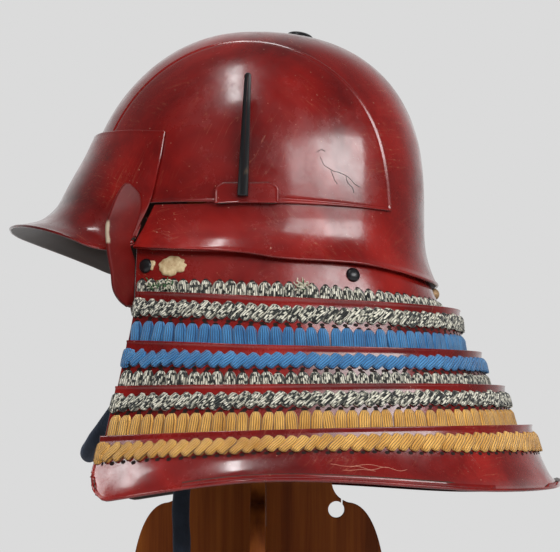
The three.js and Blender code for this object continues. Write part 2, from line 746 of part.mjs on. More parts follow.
function prongPlateSolid(side) {
  const { rearY, frontY, bottomZ, topZ, corner, thickness } = prongPlate;
  const outline = new THREE.Shape();
  outline.absarc(frontY + corner, topZ - corner, corner, Math.PI, Math.PI / 2, true);
  outline.absarc(rearY - corner, topZ - corner, corner, Math.PI / 2, 0, true);
  outline.lineTo(rearY, bottomZ);
  outline.lineTo(frontY, bottomZ);
  const rim = outline.getPoints(3).slice(0, -1);
  const middleY = (rearY + frontY) / 2;
  const middleZ = (bottomZ + topZ) / 2;
  const base = sidePlate.outer + 4 * pieceGap;
  return solidPatch(rim.length, 2, (j, share, layer) => {
    const y = lerp(middleY, rim[j].x, share);
    const z = lerp(middleZ, rim[j].y, share);
    const point = bowlPoint(besideAt(y, z), base + (layer === 0 ? thickness : 0));
    point.x *= side;
    return point;
  });
}

function prongSolid() {
  const { length, footWidth, tipWidth, thickness, holeRadius, lean } = prong;
  const outline = new THREE.Shape();
  outline.moveTo(-footWidth / 2, 0);
  outline.lineTo(footWidth / 2, 0);
  outline.lineTo(tipWidth / 2, length - tipWidth / 2);
  outline.absarc(0, length - tipWidth / 2, tipWidth / 2, 0, Math.PI, false);
  outline.lineTo(-footWidth / 2, 0);
  const hole = new THREE.Path();
  hole.absarc(0, length - tipWidth / 2, holeRadius, 0, 2 * Math.PI, true);
  outline.holes.push(hole);
  const flat = { depth: thickness, bevelEnabled: false, curveSegments: 5 };
  return new THREE.ExtrudeGeometry(outline, flat).rotateZ(-lean * DEGREE);
}

function addCrestFittings(parent) {
  for (const [word, side] of [['left', 1], ['right', -1]]) {
    addMesh(parent, `prong_plate_${word}`, prongPlateSolid(side), 'red');
    const mesh = addMesh(parent, `prong_${word}`, prongSolid(), 'black');
    const plateFace = bowl.halfWidth + sidePlate.outer + 5 * pieceGap + prongPlate.thickness;
    const innerX = side > 0 ? plateFace : -plateFace - prong.thickness;
    mesh.position.set(innerX, prong.y, prong.bottomZ);
    mesh.rotation.set(Math.PI / 2, 0, Math.PI / 2, 'ZYX');
  }
}

function addCrownDisc(parent) {
  const mesh = addMesh(parent, 'crown_disc', domeGeometry(crownDisc.radius, crownDisc.height), 'black');
  const { y, radius } = crownDisc;
  const front = new THREE.Vector3(0, y - radius, bowlTop(0, y - radius, 0));
  const back = new THREE.Vector3(0, y + radius, bowlTop(0, y + radius, 0));
  const slope = back.clone().sub(front).normalize();
  const normal = new THREE.Vector3(0, -slope.z, slope.y);
  seat(mesh, new THREE.Vector3(0, y, bowlTop(0, y, 0)), normal, pieceGap);
}

// ---------------------------------------------------------------------------
// Chin cord
// ---------------------------------------------------------------------------

function cordTube(points) {
  const curve = new THREE.CatmullRomCurve3(points.map((point) => new THREE.Vector3(...point)));
  const section = new THREE.Shape();
  const radius = cord.diameter / 2;
  for (let i = 0; i < cord.sides; i += 1) {
    const turn = (i / cord.sides) * 2 * Math.PI;
    const spot = [radius * Math.cos(turn), radius * Math.sin(turn)];
    if (i === 0) section.moveTo(...spot);
    else section.lineTo(...spot);
  }
  const count = Math.ceil(curve.getLength() / cord.stepLength);
  return new THREE.ExtrudeGeometry(section, { steps: count, extrudePath: curve, bevelEnabled: false });
}

function addChinCord(parent) {
  for (const [word, side] of [['left', 1], ['right', -1]]) {
    const ring = new THREE.TorusGeometry(cordRing.radius, cordRing.wire, 5, 12);
    const ringMesh = addMesh(parent, `cord_ring_${word}`, ring, 'black');
    ringMesh.position.set(side * cordRing.x, cordRing.y, cordRing.z);
    ringMesh.rotation.set(Math.PI / 2, 0, 0);
    const knot = new THREE.SphereGeometry(cordKnot.radius, 10, 6);
    const knotMesh = addMesh(parent, `cord_knot_${word}`, knot, 'navy');
    knotMesh.position.set(side * cordRing.x, cordRing.y, cordKnot.z - cordRing.wire);
    knotMesh.scale.set(1, 0.95, 0.85);
  }
  const rightHalf = loopRoute.slice(0, -1).reverse().map(([x, y, z]) => [-x, y, z]);
  addMesh(parent, 'chin_cord_loop', cordTube([...loopRoute, ...rightHalf]), 'navy');
  const tailTop = cordKnot.z - cordRing.wire - cordKnot.radius - pieceGap;
  const tailEnd = endKnot.z + endKnot.radius + pieceGap;
  const tail = steps(tailTop, tailEnd, 5).map((z) => [cordRing.x, cordRing.y, z]);
  addMesh(parent, 'chin_cord_tail', cordTube(tail), 'navy');
  const knotEnd = addMesh(parent, 'tail_knot', new THREE.SphereGeometry(endKnot.radius, 10, 6), 'navy');
  knotEnd.position.set(cordRing.x, cordRing.y, endKnot.z);
}

// ---------------------------------------------------------------------------
// Stand
// ---------------------------------------------------------------------------

// One board's outline, upright about its own middle; top gives the height under the bowl.
function boardShape(top) {
  const { baseHalf, neckHalf, shoulderZ, neckZ, shelf, neckRise } = stand;
  const { roundingZ, roundingTopZ, roundingX } = stand;
  const shelfX = neckHalf + shelf;
  const outline = new THREE.Shape();
  outline.moveTo(-baseHalf, 0);
  outline.lineTo(baseHalf, 0);
  outline.lineTo(baseHalf, roundingZ);
  outline.bezierCurveTo(baseHalf, roundingTopZ, roundingX, shoulderZ, shelfX, shoulderZ + 1);
  outline.quadraticCurveTo(neckHalf, shoulderZ + neckRise, neckHalf, neckZ);
  for (const share of steps(1, -1, 12)) outline.lineTo(share * neckHalf, top(share * neckHalf));
  outline.lineTo(-neckHalf, neckZ);
  outline.quadraticCurveTo(-neckHalf, shoulderZ + neckRise, -shelfX, shoulderZ + 1);
  outline.bezierCurveTo(-roundingX, shoulderZ, -baseHalf, roundingTopZ, -baseHalf, roundingZ);
  return outline;
}

function boxSolid(width, depth, height, x, y, z) {
  return toSolid(new THREE.BoxGeometry(width, depth, height).translate(x, y, z));
}

// A board, flat in the XZ plane, with its round eyes and its half of the cross joint cut out.
function boardSolid(top, slotFrom, slotTo) {
  const { thickness, eye, slit } = stand;
  const blank = new THREE.ExtrudeGeometry(boardShape(top), {
    depth: thickness,
    bevelEnabled: false,
    curveSegments: 6,
  });
  blank.rotateX(Math.PI / 2).translate(0, thickness / 2, 0);
  let solid = toSolid(blank);
  for (const side of [1, -1]) {
    const round = new THREE.CylinderGeometry(eye.radius, eye.radius, thickness * 2, 16);
    round.translate(side * eye.fromMiddle, 0, eye.z);
    solid = solid.subtract(toSolid(round));
    const slitX = side * (eye.fromMiddle + slit.aside);
    solid = solid.subtract(boxSolid(slit.width, thickness * 2, slit.height, slitX, 0, eye.z + slit.up));
  }
  const slotWidth = thickness + 2 * pieceGap;
  const slotHeight = slotTo - slotFrom;
  return solid.subtract(boxSolid(slotWidth, thickness * 2, slotHeight, 0, 0, slotFrom + slotHeight / 2));
}

function addStand(parent) {
  const group = new THREE.Group();
  group.position.set(0, stand.y, 0);
  const under = crown.outer - crown.thickness - stand.topClearance;
  const half = stand.thickness / 2;
  const alongTop = (s) => Math.min(
    bowlTop(half, stand.y + s, under),
    bowlTop(0, stand.y + s, under),
  );
  const acrossTop = (s) => Math.min(
    bowlTop(s, stand.y + half, under),
    bowlTop(s, stand.y - half, under),
  );
  const highest = bowl.equatorZ + bowl.height;
  const long = boardSolid(alongTop, stand.halvingZ, highest);
  const cross = boardSolid(acrossTop, -1, stand.halvingZ + pieceGap);
  const longMesh = addMesh(group, 'stand_board_long', fromSolid(long), 'wood');
  longMesh.rotation.set(0, 0, Math.PI / 2);
  addMesh(group, 'stand_board_cross', fromSolid(cross), 'wood');
  parent.add(group);
}

// ---------------------------------------------------------------------------
// Assembly
// ---------------------------------------------------------------------------

addMesh(helmet, 'crown_plate', crownPlate(), 'red');
addMesh(helmet, 'side_plate_left', sidePlateSolid(1), 'red');
addMesh(helmet, 'side_plate_right', sidePlateSolid(-1), 'red');
addMesh(helmet, 'brow_plate', browPlate(), 'red');
addMesh(helmet, 'base_band', baseBand(), 'red');
addCrownDisc(helmet);
addCrestFittings(helmet);
addMesh(helmet, 'neck_lame_1', firstLame(), 'red');
for (const name of Object.keys(lames).slice(1)) addMesh(helmet, name, lameSolid(name), 'red');
for (const row of lacingRows) addMesh(helmet, row.name, lacingSolid(row), row.colour);
addRivets(helmet);
addMesh(helmet, 'leather_patch', patchSolid(), 'leather');
addChinCord(helmet);
addStand(helmet);

export default helmet;
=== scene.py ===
"""The kabuto helmet on its stand, dressed for the picture: the same surfaces as the solids, finer, with
rounded edges, lips and beads, separate lacing braids, cords, worn lacquer and wood."""
import functools
import math

import bmesh
import bpy
import numpy as np
from mathutils import Matrix, Vector

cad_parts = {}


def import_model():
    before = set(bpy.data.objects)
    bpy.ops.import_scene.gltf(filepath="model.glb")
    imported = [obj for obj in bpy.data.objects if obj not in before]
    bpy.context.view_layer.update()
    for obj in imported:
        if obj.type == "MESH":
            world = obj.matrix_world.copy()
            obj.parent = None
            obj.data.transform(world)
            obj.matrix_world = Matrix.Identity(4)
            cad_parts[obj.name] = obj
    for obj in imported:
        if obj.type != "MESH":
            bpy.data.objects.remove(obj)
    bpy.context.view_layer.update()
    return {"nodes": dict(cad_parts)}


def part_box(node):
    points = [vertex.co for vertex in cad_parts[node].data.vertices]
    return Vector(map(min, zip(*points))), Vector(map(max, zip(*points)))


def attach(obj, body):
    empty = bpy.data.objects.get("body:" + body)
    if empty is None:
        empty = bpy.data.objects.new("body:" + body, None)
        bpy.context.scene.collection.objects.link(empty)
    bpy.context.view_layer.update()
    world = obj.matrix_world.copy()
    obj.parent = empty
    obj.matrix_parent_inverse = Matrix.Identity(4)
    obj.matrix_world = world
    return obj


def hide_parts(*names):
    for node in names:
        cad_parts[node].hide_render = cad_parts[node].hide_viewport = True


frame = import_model()

MM = 0.001
rng = np.random.default_rng(7)

# ---- Sizes in millimetres, the same as the solids' ----

BOWL = {"half_width": 98, "half_length": 121.6, "height": 124.3, "middle_y": -19.9, "equator_z": 351,
        "plan_power": 2.2, "front_power": 1.95, "rear_power": 2.43}
INSIDE_BOWL = (0, BOWL["middle_y"], BOWL["equator_z"])
CROWN_THICKNESS = 2
SIDE_PLATE = {"outer": 2.2, "thickness": 1.5, "bottom_front_z": 341, "front_y": -96, "y": -14, "z": 385}
BROW = {"outer": 4.6, "thickness": 1.8, "inside": (0, -60, 250)}
BAND = {"thickness": 2, "tuck_z": 356, "front_top_z": 339.4, "flare_start_z": 330, "flare_power": 2.2,
        "front_lift": 3, "depth": 52, "lip": 0.9}

SEAM = {
    "turn": [-12, 10, 35, 55, 70, 85, 100, 120, 160],
    "spread": [48.5, 46.8, 47.2, 48.7, 51.6, 56, 58.6, 59.6, 59.8],
}
BROW_STATIONS = {
    "share": [0, 0.16, 0.32, 0.48, 0.62, 0.75, 0.86, 0.94, 1],
    "top_z": [398, 398, 397.6, 396.8, 395.6, 394.4, 393, 391.8, 391],
    "rim_x": [0, 28, 53, 74, 89, 96.5, 96, 89, 80.5],
    "rim_y": [-196.6, -194.3, -187, -176, -162, -146, -129, -114.5, -103],
    "rim_z": [330, 329.8, 328.5, 325.8, 321.5, 315.6, 308.8, 308, 314],
}
BROW_SWEEP = {
    "drop": [0, 0.21, 0.37, 0.54, 0.72, 0.82, 0.89, 0.93, 0.955, 0.975, 1],
    "sweep": [0, 0.03, 0.095, 0.185, 0.3, 0.41, 0.53, 0.65, 0.78, 0.9, 1],
}
BROW_REAR = {"z": [312, 324, 341, 366, 392], "angle": [51.2, 54.8, 59, 60.4, 60.4]}
BAND_RIM = {
    "angle": [0, 20, 30, 45, 56, 66, 76, 84, 91, 100, 111, 123, 129],
    "z": [290.4, 290.4, 291.7, 295.4, 298.2, 299.2, 299.9, 301.4, 304, 306, 307.4, 309.2, 310.8],
    "flare": [9.6, 9.6, 9.4, 9, 8.8, 8.6, 8.4, 8.2, 8.2, 8, 7.2, 5, 3.5],
}
BAND_FRONT = {"down": [0, 0.5, 0.8, 1], "angle": [122.4, 126.2, 128.4, 129]}

NECK = {"widest_y": -10, "plan_power": 2.2, "thickness": 2.6, "middle": (0, 0, 260)}
LAME_COLUMNS = ("down", "half", "back", "front_x", "front_y", "front", "side", "quarter", "rear")
LAMES = {
    "neck_lame_1": [
        (0, 98, 103, 77.5, -101, 313, 311, 302, 296),
        (0.4, 101.6, 109, 78.5, -101.5, 295, 292, 286, 283),
        (1, 105.6, 116.6, 80.5, -102, 271, 266, 263, 264.5),
    ],
    "neck_lame_2": [
        (0, 112, 126, 88, -99.8, 280.5, 275, 272.5, 274),
        (0.5, 113.6, 127.6, 90, -103, 260, 254, 253, 254.5),
        (1, 115, 130.6, 92, -107, 238, 233, 232.5, 234.5),
    ],
    "neck_lame_3": [
        (0, 122, 141, 98.5, -105.4, 246.5, 242, 241.5, 244),
        (0.5, 124.4, 144.6, 101, -109.5, 226, 224, 225, 227.5),
        (1, 126.8, 149, 103.5, -113.6, 205.5, 206, 208, 210.5),
    ],
    "neck_lame_4": [
        (0, 133, 157, 110, -112, 215, 215.3, 217.5, 220),
        (0.5, 136, 161.6, 112.6, -116.4, 194, 196, 199, 202),
        (1, 139.4, 166.6, 115, -120.6, 173, 176, 180, 184),
    ],
    "neck_lame_5": [
        (0, 146.4, 176, 122, -121, 181.5, 185, 189, 193),
        (0.34, 150, 180.4, 125, -124, 166.5, 172.5, 174, 177),
        (0.58, 154, 184.6, 128, -126, 154.5, 164, 163.4, 166),
        (0.8, 160, 190, 131.4, -125.8, 144.5, 157, 152.6, 156),
        (1, 167.6, 197, 134.4, -124.6, 136.4, 151.6, 145, 150.2),
    ],
}
HEM_CORNER = 13

EAR = {"thickness": 2.8, "inside": (0, -60, 310), "bulge": 0.7}
EAR_SECTIONS = {
    "z": [269.5, 273, 280, 292, 302, 307, 312, 318, 324, 332, 340, 347, 351.5, 353.6],
    "rear_x": [80.6, 80.6, 80.2, 79.2, 78.6, 81.5, 86.5, 88, 89, 90, 91, 92.5, 95, 96.6],
    "rear_y": [-101.6, -101.4, -101.2, -101, -101, -102.4, -103.6, -102, -99.6, -97, -96, -97.6,
               -101.6, -104.4],
    "front_x": [84, 91, 97, 100, 102, 102.8, 103.4, 104, 104, 103.5, 102, 100.4, 98.8, 97.6],
    "front_y": [-103.5, -109.6, -113.8, -115.3, -117, -117.8, -118.4, -119, -119, -116.8, -114.2,
                -111, -108.2, -106.2],
}

LACING_THICKNESS = 1.9
LACING_ROWS = [
    ("lacing_row_1", "neck_lame_1", 0.56, 0.9, "mixed", "upright"),
    ("lacing_row_2", "neck_lame_2", 0.11, 0.44, "mixed", "slanted"),
    ("lacing_row_3", "neck_lame_2", 0.5, 0.93, "blue", "upright"),
    ("lacing_row_4", "neck_lame_3", 0.14, 0.47, "blue", "slanted"),
    ("lacing_row_5", "neck_lame_3", 0.52, 0.92, "mixed", "upright"),
    ("lacing_row_6", "neck_lame_4", 0.12, 0.44, "mixed", "slanted"),
    ("lacing_row_7", "neck_lame_4", 0.48, 0.92, "gold", "upright"),
    ("lacing_row_8", "neck_lame_5", 0.1, 0.43, "gold", "slanted"),
]
BRAID = {"pitch": 8, "half_width": 4.5, "slanted_half": 4.1, "slanted_run": 9.6,
         "rib": 1.55, "width": 7.75, "upright_margin": 2.5, "slanted_margin": 4.5, "end_strand": 3.4}

PRONG_PLATE = {"rear_y": -3.5, "front_y": -46, "bottom_z": 338.8, "top_z": 353, "corner": 6, "thick": 1,
               "rise": 2.0}
PRONG = {"length": 84, "foot": 7.4, "tip": 4.6, "thick": 4, "hole": 0.9, "lean": 2.4, "y": -27.4,
         "z": 343.6}
CROWN_DISC = {"radius": 10.5, "height": 4.4, "y": 12.2}
RIVET = {"radius": 5, "height": 2.6, "rounder": 0.4}
RIVETS = [("rivet_front", 125, 298), ("rivet_side", 60.6, 291)]
REAR_RIVET = {"radius": 4.4, "height": 4.6, "z": 285.6}
# Cracks on the left side plate, as y and z along each.
CRACKS = [
    [(24, 372), (27, 366), (31.9, 362.5), (37, 361), (42, 359), (47.5, 354), (52.5, 351.5)],
    [(31.9, 362.5), (33.5, 357), (36, 353)],
    [(42, 359), (43, 354.5), (46, 351.5), (47, 347.5)],
    [(22, 374), (25, 376), (28, 375)],
]
# Scuffs on the hem: from and to which share of its length, how far down, swing and number of waves.
SCUFFS = [(0.53, 0.62, 0.66, 0.02, 1.5), (0.5, 0.59, 0.7, 0.025, 2), (0.55, 0.6, 0.74, 0.012, 1)]
# Loose threads: from and to which angle, at what height, how many, and the green share of them.
FRAYS = [(114.5, 124, 283.6, 130, 0.45), (75.5, 79.5, 282.6, 50, 0.03)]
THREAD = {"radius": 0.36, "steps": 6, "step": 0.65}
PATCH = {"angle": 116.3, "z": 297, "width": 14.8, "height": 14, "thickness": 0.9, "arc": 1.72}

SIDES = (("left", 1), ("right", -1))
CORD_RADIUS = 6
CORD_RING = {"radius": 8, "wire": 1.6, "x": 77, "y": -68.5, "z": 300.4}
CORD_KNOT = {"radius": 8.6, "z": 281.9}
END_KNOT = {"radius": 8.8, "z": 86.5}
LOOP_ROUTE = [
    (77, -79.8, 281.4),
    (76.8, -84.4, 275.4),
    (75.5, -88, 262),
    (73, -93.5, 245),
    (69, -100, 227),
    (63.5, -108.5, 209.5),
    (55.5, -118.6, 194.5),
    (43, -128.4, 183),
    (28, -134.8, 175.6),
    (12, -137.8, 172.2),
    (0, -138.4, 171.5),
]

STAND = {"y": -17.5, "thickness": 10.4, "base": 91, "neck": 52, "shoulder_z": 136, "rounding_z": 60,
         "rounding_top_z": 96, "rounding_x": 84, "shelf": 12, "neck_rise": 5, "neck_z": 154,
         "eye": (55.4, 132, 5.8), "slit": (1.2, 4), "halving_z": 120, "clearance": 1.2, "gap": 0.3,
         "edge": 0.7}

# ---- Camera, picked to look from the helmet's left side and slightly upwards ----

CAMERA = {"place": (1.6, -0.00216, 0.145), "pitch": math.atan2(0.15408, 1.6), "lens": 143.52}

camera_data = bpy.data.cameras.new("camera")
camera_data.lens = CAMERA["lens"]
camera_data.sensor_width = 36
camera_data.clip_end = 50
camera = bpy.data.objects.new("camera", camera_data)
bpy.context.scene.collection.objects.link(camera)
tilt_sin, tilt_cos = math.sin(CAMERA["pitch"]), math.cos(CAMERA["pitch"])
camera.matrix_world = Matrix((
    (0, tilt_sin, tilt_cos, CAMERA["place"][0]),
    (1, 0, 0, CAMERA["place"][1]),
    (0, tilt_cos, -tilt_sin, CAMERA["place"][2]),
    (0, 0, 0, 1),
))
bpy.context.scene.camera = camera

# ---- Small tools ----


def smooth_curve(keys, values, at):
    """A smooth curve through values at rising keys; both may also differ from point to point."""
    at = np.asarray(at, float)
    last = len(keys) - 1
    around = [(max(j - 1, 0), min(j + 1, last)) for j in range(last + 1)]
    slopes = [(values[b] - values[a]) / (keys[b] - keys[a]) for a, b in around]
    for i in range(last):
        span = keys[i + 1] - keys[i]
        t = np.clip((at - keys[i]) / span, 0, 1)
        rise = values[i + 1] - values[i]
        first, second = slopes[i] * span, slopes[i + 1] * span
        bend = first + second - 2 * rise
        value = values[i] + t * (first + t * (3 * rise - 2 * first - second + t * bend))
        found = np.where(at >= keys[i], value, found) if i else value
    return found


def along(table, key, column, at):
    """A smooth curve through a table: the named column at values of the key column."""
    return smooth_curve(table[key], table[column], at)


def bisect(low, high, rounds, short):
    """Close in on a value between low and high; short says where the middle is too low."""
    for _ in range(rounds):
        middle = (low + high) / 2
        below = short(middle)
        low = np.where(below, middle, low)
        high = np.where(below, high, middle)
    return low


def ridge(x, centre, width):
    """A rounded ridge, one high, round a centre."""
    return np.exp(-((x - centre) / width) ** 2)


def smoothstep(x, low, high):
    t = np.clip((np.asarray(x, float) - low) / (high - low), 0, 1)
    return t * t * (3 - 2 * t)


def unit(v):
    return v / np.linalg.norm(v, axis=-1, keepdims=True)


def full_turn(count):
    """Angles spread evenly all the way round."""
    return np.linspace(0, 2 * np.pi, count, endpoint=False)


def way_along(line):
    """How far along a line each of its points is."""
    return np.concatenate([[0], np.cumsum(np.linalg.norm(np.diff(line, axis=0), axis=-1))])


def edge_steps(length, radius, count, low=0.0, high=1.0):
    """Values from low to high, closer together near the rounded ends. Length is in millimetres."""
    near = np.array([0, 0.1, 0.35, 0.7, 1.0, 1.7]) * radius / length
    clear = near[-1] * 1.5
    values = np.linspace(0, 1, count + 1)
    inner = values[(values > clear) & (values < 1 - clear)]
    return low + (high - low) * np.concatenate([near, inner, 1 - near[::-1]])


def normals_of(grid, away):
    """Outward unit normals of a grid of points; away is a point on the inner side."""
    normal = np.cross(np.gradient(grid, axis=0), np.gradient(grid, axis=1))
    normal = normal / np.maximum(np.linalg.norm(normal, axis=-1, keepdims=True), 1e-9)
    facing = np.sum(normal * (grid - np.asarray(away, float)), axis=-1, keepdims=True)
    return np.where(facing < 0, -normal, normal)


def edge_distance(grid, sides):
    """How far each grid point is from the nearest of the named sides of the grid."""
    far = np.full(grid.shape[:2], 1e6)
    for axis, (low, high) in enumerate((("first", "last"), ("start", "end"))):
        steps = np.linalg.norm(np.diff(grid, axis=axis), axis=-1)
        way = np.insert(np.cumsum(steps, axis=axis), 0, 0, axis=axis)
        if low in sides:
            far = np.minimum(far, way)
        if high in sides:
            far = np.minimum(far, np.take(way, [-1], axis=axis) - way)
    return far


def piece_name(words):
    """The words joined, and told apart from the solid of the same name."""
    name = words.replace(" ", "_")
    return name + "_surface" if name in frame["nodes"] else name


class Pile:
    """Points, faces, texture coordinates and material numbers gathered into one mesh."""

    def __init__(self):
        self.points = []
        self.faces = []
        self.uvs = []
        self.mats = []
        self.size = 0

    def add(self, points, faces, uvs=None, mat=0):
        points = np.asarray(points, float).reshape(-1, 3)
        faces = [tuple(int(i) + self.size for i in face) for face in faces]
        uvs = np.zeros((len(points), 2)) if uvs is None else np.asarray(uvs, float).reshape(-1, 2)
        self.points.append(points)
        self.uvs.append(uvs)
        self.faces += faces
        self.mats += [mat] * len(faces)
        self.size += len(points)

    def grid(self, grid, uvs=None, mat=0, flip=False, closed=False):
        rows, columns = grid.shape[:2]
        index = np.arange(rows * columns).reshape(rows, columns)
        if closed:
            index = np.hstack([index, index[:, :1]])
        a = index[:-1, :-1].ravel()
        b = index[:-1, 1:].ravel()
        c = index[1:, 1:].ravel()
        d = index[1:, :-1].ravel()
        faces = np.stack([d, c, b, a] if flip else [a, b, c, d], axis=1)
        self.add(grid, faces, uvs, mat)

    def mesh(self, name, materials):
        name = piece_name(name)
        points = np.concatenate(self.points) * MM
        uvs = np.concatenate(self.uvs)
        mesh = bpy.data.meshes.new(name)
        mesh.from_pydata(points.tolist(), [], self.faces)
        loops = np.empty(len(mesh.loops), dtype=np.int32)
        mesh.loops.foreach_get("vertex_index", loops)
        layer = mesh.uv_layers.new(name="UVMap")
        layer.data.foreach_set("uv", uvs[loops].ravel())
        mesh.polygons.foreach_set("material_index", np.array(self.mats, dtype=np.int32))
        mesh.polygons.foreach_set("use_smooth", np.full(len(mesh.polygons), True))
        for material in materials:
            mesh.materials.append(material)
        mesh.update()
        piece = bpy.data.objects.new(name, mesh)
        bpy.context.scene.collection.objects.link(piece)
        return piece

    def fan(self, points, mat):
        """A flat disc: its middle and the points round it."""
        count = len(points) - 1
        self.add(points, [(0, 1 + k, 1 + (k + 1) % count) for k in range(count)], None, mat)

    def piece(self, name, materials, slot, *nodes, weld=True):
        """The mesh as a piece of the part, in place of the named solids; the slot argument is not used."""
        return finish_piece(self.mesh(name, materials), slot, *nodes, weld=weld)


def plate(pile, grid, thickness, away, sides=("first", "last", "start", "end"), mats=(0, 1)):
    """A sheet of even thickness whose outer face is the grid, rounded on the named sides."""
    normal = normals_of(grid, away)
    round_off = thickness / 2
    far = edge_distance(grid, sides)
    half = round_off * np.sqrt(1 - (1 - np.clip(far / round_off, 0, 1)) ** 2)
    middle = grid - normal * round_off
    outer = middle + normal * half[..., None]
    inner = middle - normal * half[..., None]
    across = np.cross(grid[1:, :-1] - grid[:-1, :-1], grid[:-1, 1:] - grid[:-1, :-1])
    flip = np.sum(across * normal[:-1, :-1]) > 0
    pile.grid(outer, None, mats[0], flip)
    pile.grid(inner, None, mats[1], not flip)
    if sides:
        near = far[:-1, :-1].ravel() < thickness
        for k in np.flatnonzero(near):
            pile.mats[k - len(near)] = mats[0]


def finish_piece(piece, slot, *nodes, weld=True):
    if weld:
        work = bmesh.new()
        work.from_mesh(piece.data)
        bmesh.ops.remove_doubles(work, verts=work.verts, dist=1e-7)
        work.to_mesh(piece.data)
        work.free()
    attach(piece, "root")
    if nodes:
        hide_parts(*nodes)
    return piece


# ---- The bowl's surface ----


def bowl_reach(direction):
    x, y, z = direction[..., 0], direction[..., 1], direction[..., 2]
    power = BOWL["plan_power"]
    plan = (np.abs(x) ** power + np.abs(y) ** power) ** (1 / power)
    front, rear = BOWL["front_power"], BOWL["rear_power"]
    upper = front + (rear - front) * smoothstep(y, -1, 1)
    up = np.maximum(z, 0)
    return (plan ** upper + up ** upper) ** (-1 / upper)


def bowl_point(direction, offset):
    reach = bowl_reach(direction)
    offset = np.broadcast_to(np.asarray(offset, float), reach.shape)
    x, y, z = direction[..., 0], direction[..., 1], direction[..., 2]
    lift = BOWL["height"] + np.where(z > 0, offset, 0)
    return np.stack([
        (BOWL["half_width"] + offset) * x * reach,
        BOWL["middle_y"] + (BOWL["half_length"] + offset) * y * reach,
        BOWL["equator_z"] + lift * z * reach,
    ], axis=-1)


def over_top(turn, spread):
    turn, spread = np.radians(turn), np.radians(spread)
    return np.stack([
        np.cos(spread),
        np.sin(spread) * np.cos(turn),
        np.sin(spread) * np.sin(turn),
    ], axis=-1)


def around_at(angle, z):
    """The direction at a plan angle from the back whose surface point has a given height."""
    angle, z = np.broadcast_arrays(np.radians(np.asarray(angle, float)), np.asarray(z, float))

    def aim(tilt):
        flat = np.cos(tilt)
        return np.stack([np.sin(angle) * flat, np.cos(angle) * flat, np.sin(tilt)], axis=-1)

    low = np.full(angle.shape, math.radians(-80))
    high = np.full(angle.shape, math.radians(89.9))
    return aim(bisect(low, high, 44, lambda tilt: bowl_point(aim(tilt), 0)[..., 2] < z))


def beside_at(y, z):
    """The direction on the left half of the bowl whose surface point has a given y and z."""
    y, z = np.broadcast_arrays(np.asarray(y, float), np.asarray(z, float))
    forward = y < BOWL["middle_y"]

    def aim(turn):
        return around_at(np.where(forward, 180 - turn, turn), z)

    def short(turn):
        reached = bowl_point(aim(turn), 0)[..., 1]
        return np.where(forward, reached < y, reached > y)

    return aim(bisect(np.zeros(y.shape), np.full(y.shape, 90.0), 26, short))


def bowl_top(x, y, offset):
    """The height of the bowl's surface, moved out by an offset, over a point."""
    size = np.array([BOWL["half_width"], BOWL["half_length"], BOWL["height"]]) + offset

    def inside(z):
        aim = (np.array([x, y, z], float) - INSIDE_BOWL) / size
        length = np.linalg.norm(aim)
        return length < bowl_reach(aim / length)

    low = BOWL["equator_z"]
    return float(bisect(low, low + BOWL["height"] + offset, 40, inside))


# ---- Materials ----


LACQUER = {"dark": (0.085, 0.004, 0.004), "middle": (0.165, 0.006, 0.005), "light": (0.27, 0.011, 0.008),
           "scratch": (0.5, 0.2, 0.11), "speck": (0.6, 0.34, 0.24), "stretch": 14.0}
# A bare strip on the front edge of each ear, in metres.
EAR_WEAR = {"y": -0.1135, "low": (0.311, 0.3125), "high": (0.3275, 0.3255), "colour": (0.62, 0.5, 0.36)}


class Nodes:
    """Short ways to add nodes to a tree."""

    def __init__(self, tree):
        self.nodes = tree.nodes
        self.links = tree.links

    def node(self, kind, settings=(), inputs=()):
        made = self.nodes.new(kind)
        for key, value in dict(settings).items():
            setattr(made, key, value)
        for key, value in dict(inputs).items():
            self.feed(made.inputs[key], value)
        return made

    def feed(self, socket, value):
        if isinstance(value, bpy.types.NodeSocket):
            self.links.new(value, socket)
        else:
            socket.default_value = value

    def where(self, scale=(1, 1, 1), turn=(0, 0, 0)):
        place = self.node("ShaderNodeTexCoord")
        return self.node("ShaderNodeMapping", inputs={
            "Vector": place.outputs["Object"], "Scale": scale, "Rotation": turn}).outputs["Vector"]

    def noise(self, scale, detail=3.0, vector=None, roughness=0.55, distortion=0.0):
        made = self.node("ShaderNodeTexNoise", inputs={
            "Scale": scale, "Detail": detail, "Roughness": roughness, "Distortion": distortion,
            "Vector": self.where() if vector is None else vector})
        return made.outputs["Fac"]

    def ramp(self, value, stops):
        made = self.node("ShaderNodeValToRGB", inputs={"Fac": value})
        marks = made.color_ramp.elements
        while len(marks) < len(stops):
            marks.new(0.5)
        for mark, (place, colour) in zip(marks, stops):
            mark.position = place
            mark.color = (*colour, 1)
        return made.outputs["Color"]

    def band(self, value, low, high, start=0.0, end=1.0):
        made = self.node("ShaderNodeMapRange", inputs={
            "Value": value, "From Min": low, "From Max": high, "To Min": start, "To Max": end})
        return made.outputs["Result"]

    def math(self, kind, a, b=0.0, clamp=False):
        made = self.node("ShaderNodeMath", {"operation": kind, "use_clamp": clamp})
        self.feed(made.inputs[0], a)
        self.feed(made.inputs[1], b)
        return made.outputs["Value"]

    def plus(self, a, b):
        return self.math("ADD", a, b)

    def times(self, a, b, clamp=False):
        return self.math("MULTIPLY", a, b, clamp)

    def mix(self, share, a, b):
        made = self.node("ShaderNodeMix", {"data_type": "RGBA"})
        for socket, value in ((0, share), (6, a), (7, b)):
            if isinstance(value, tuple) and len(value) == 3:
                value = (*value, 1)
            self.feed(made.inputs[socket], value)
        return made.outputs[2]

    def bump(self, height, strength, distance):
        made = self.node("ShaderNodeBump", inputs={
            "Height": height, "Strength": strength, "Distance": distance})
        return made.outputs["Normal"]


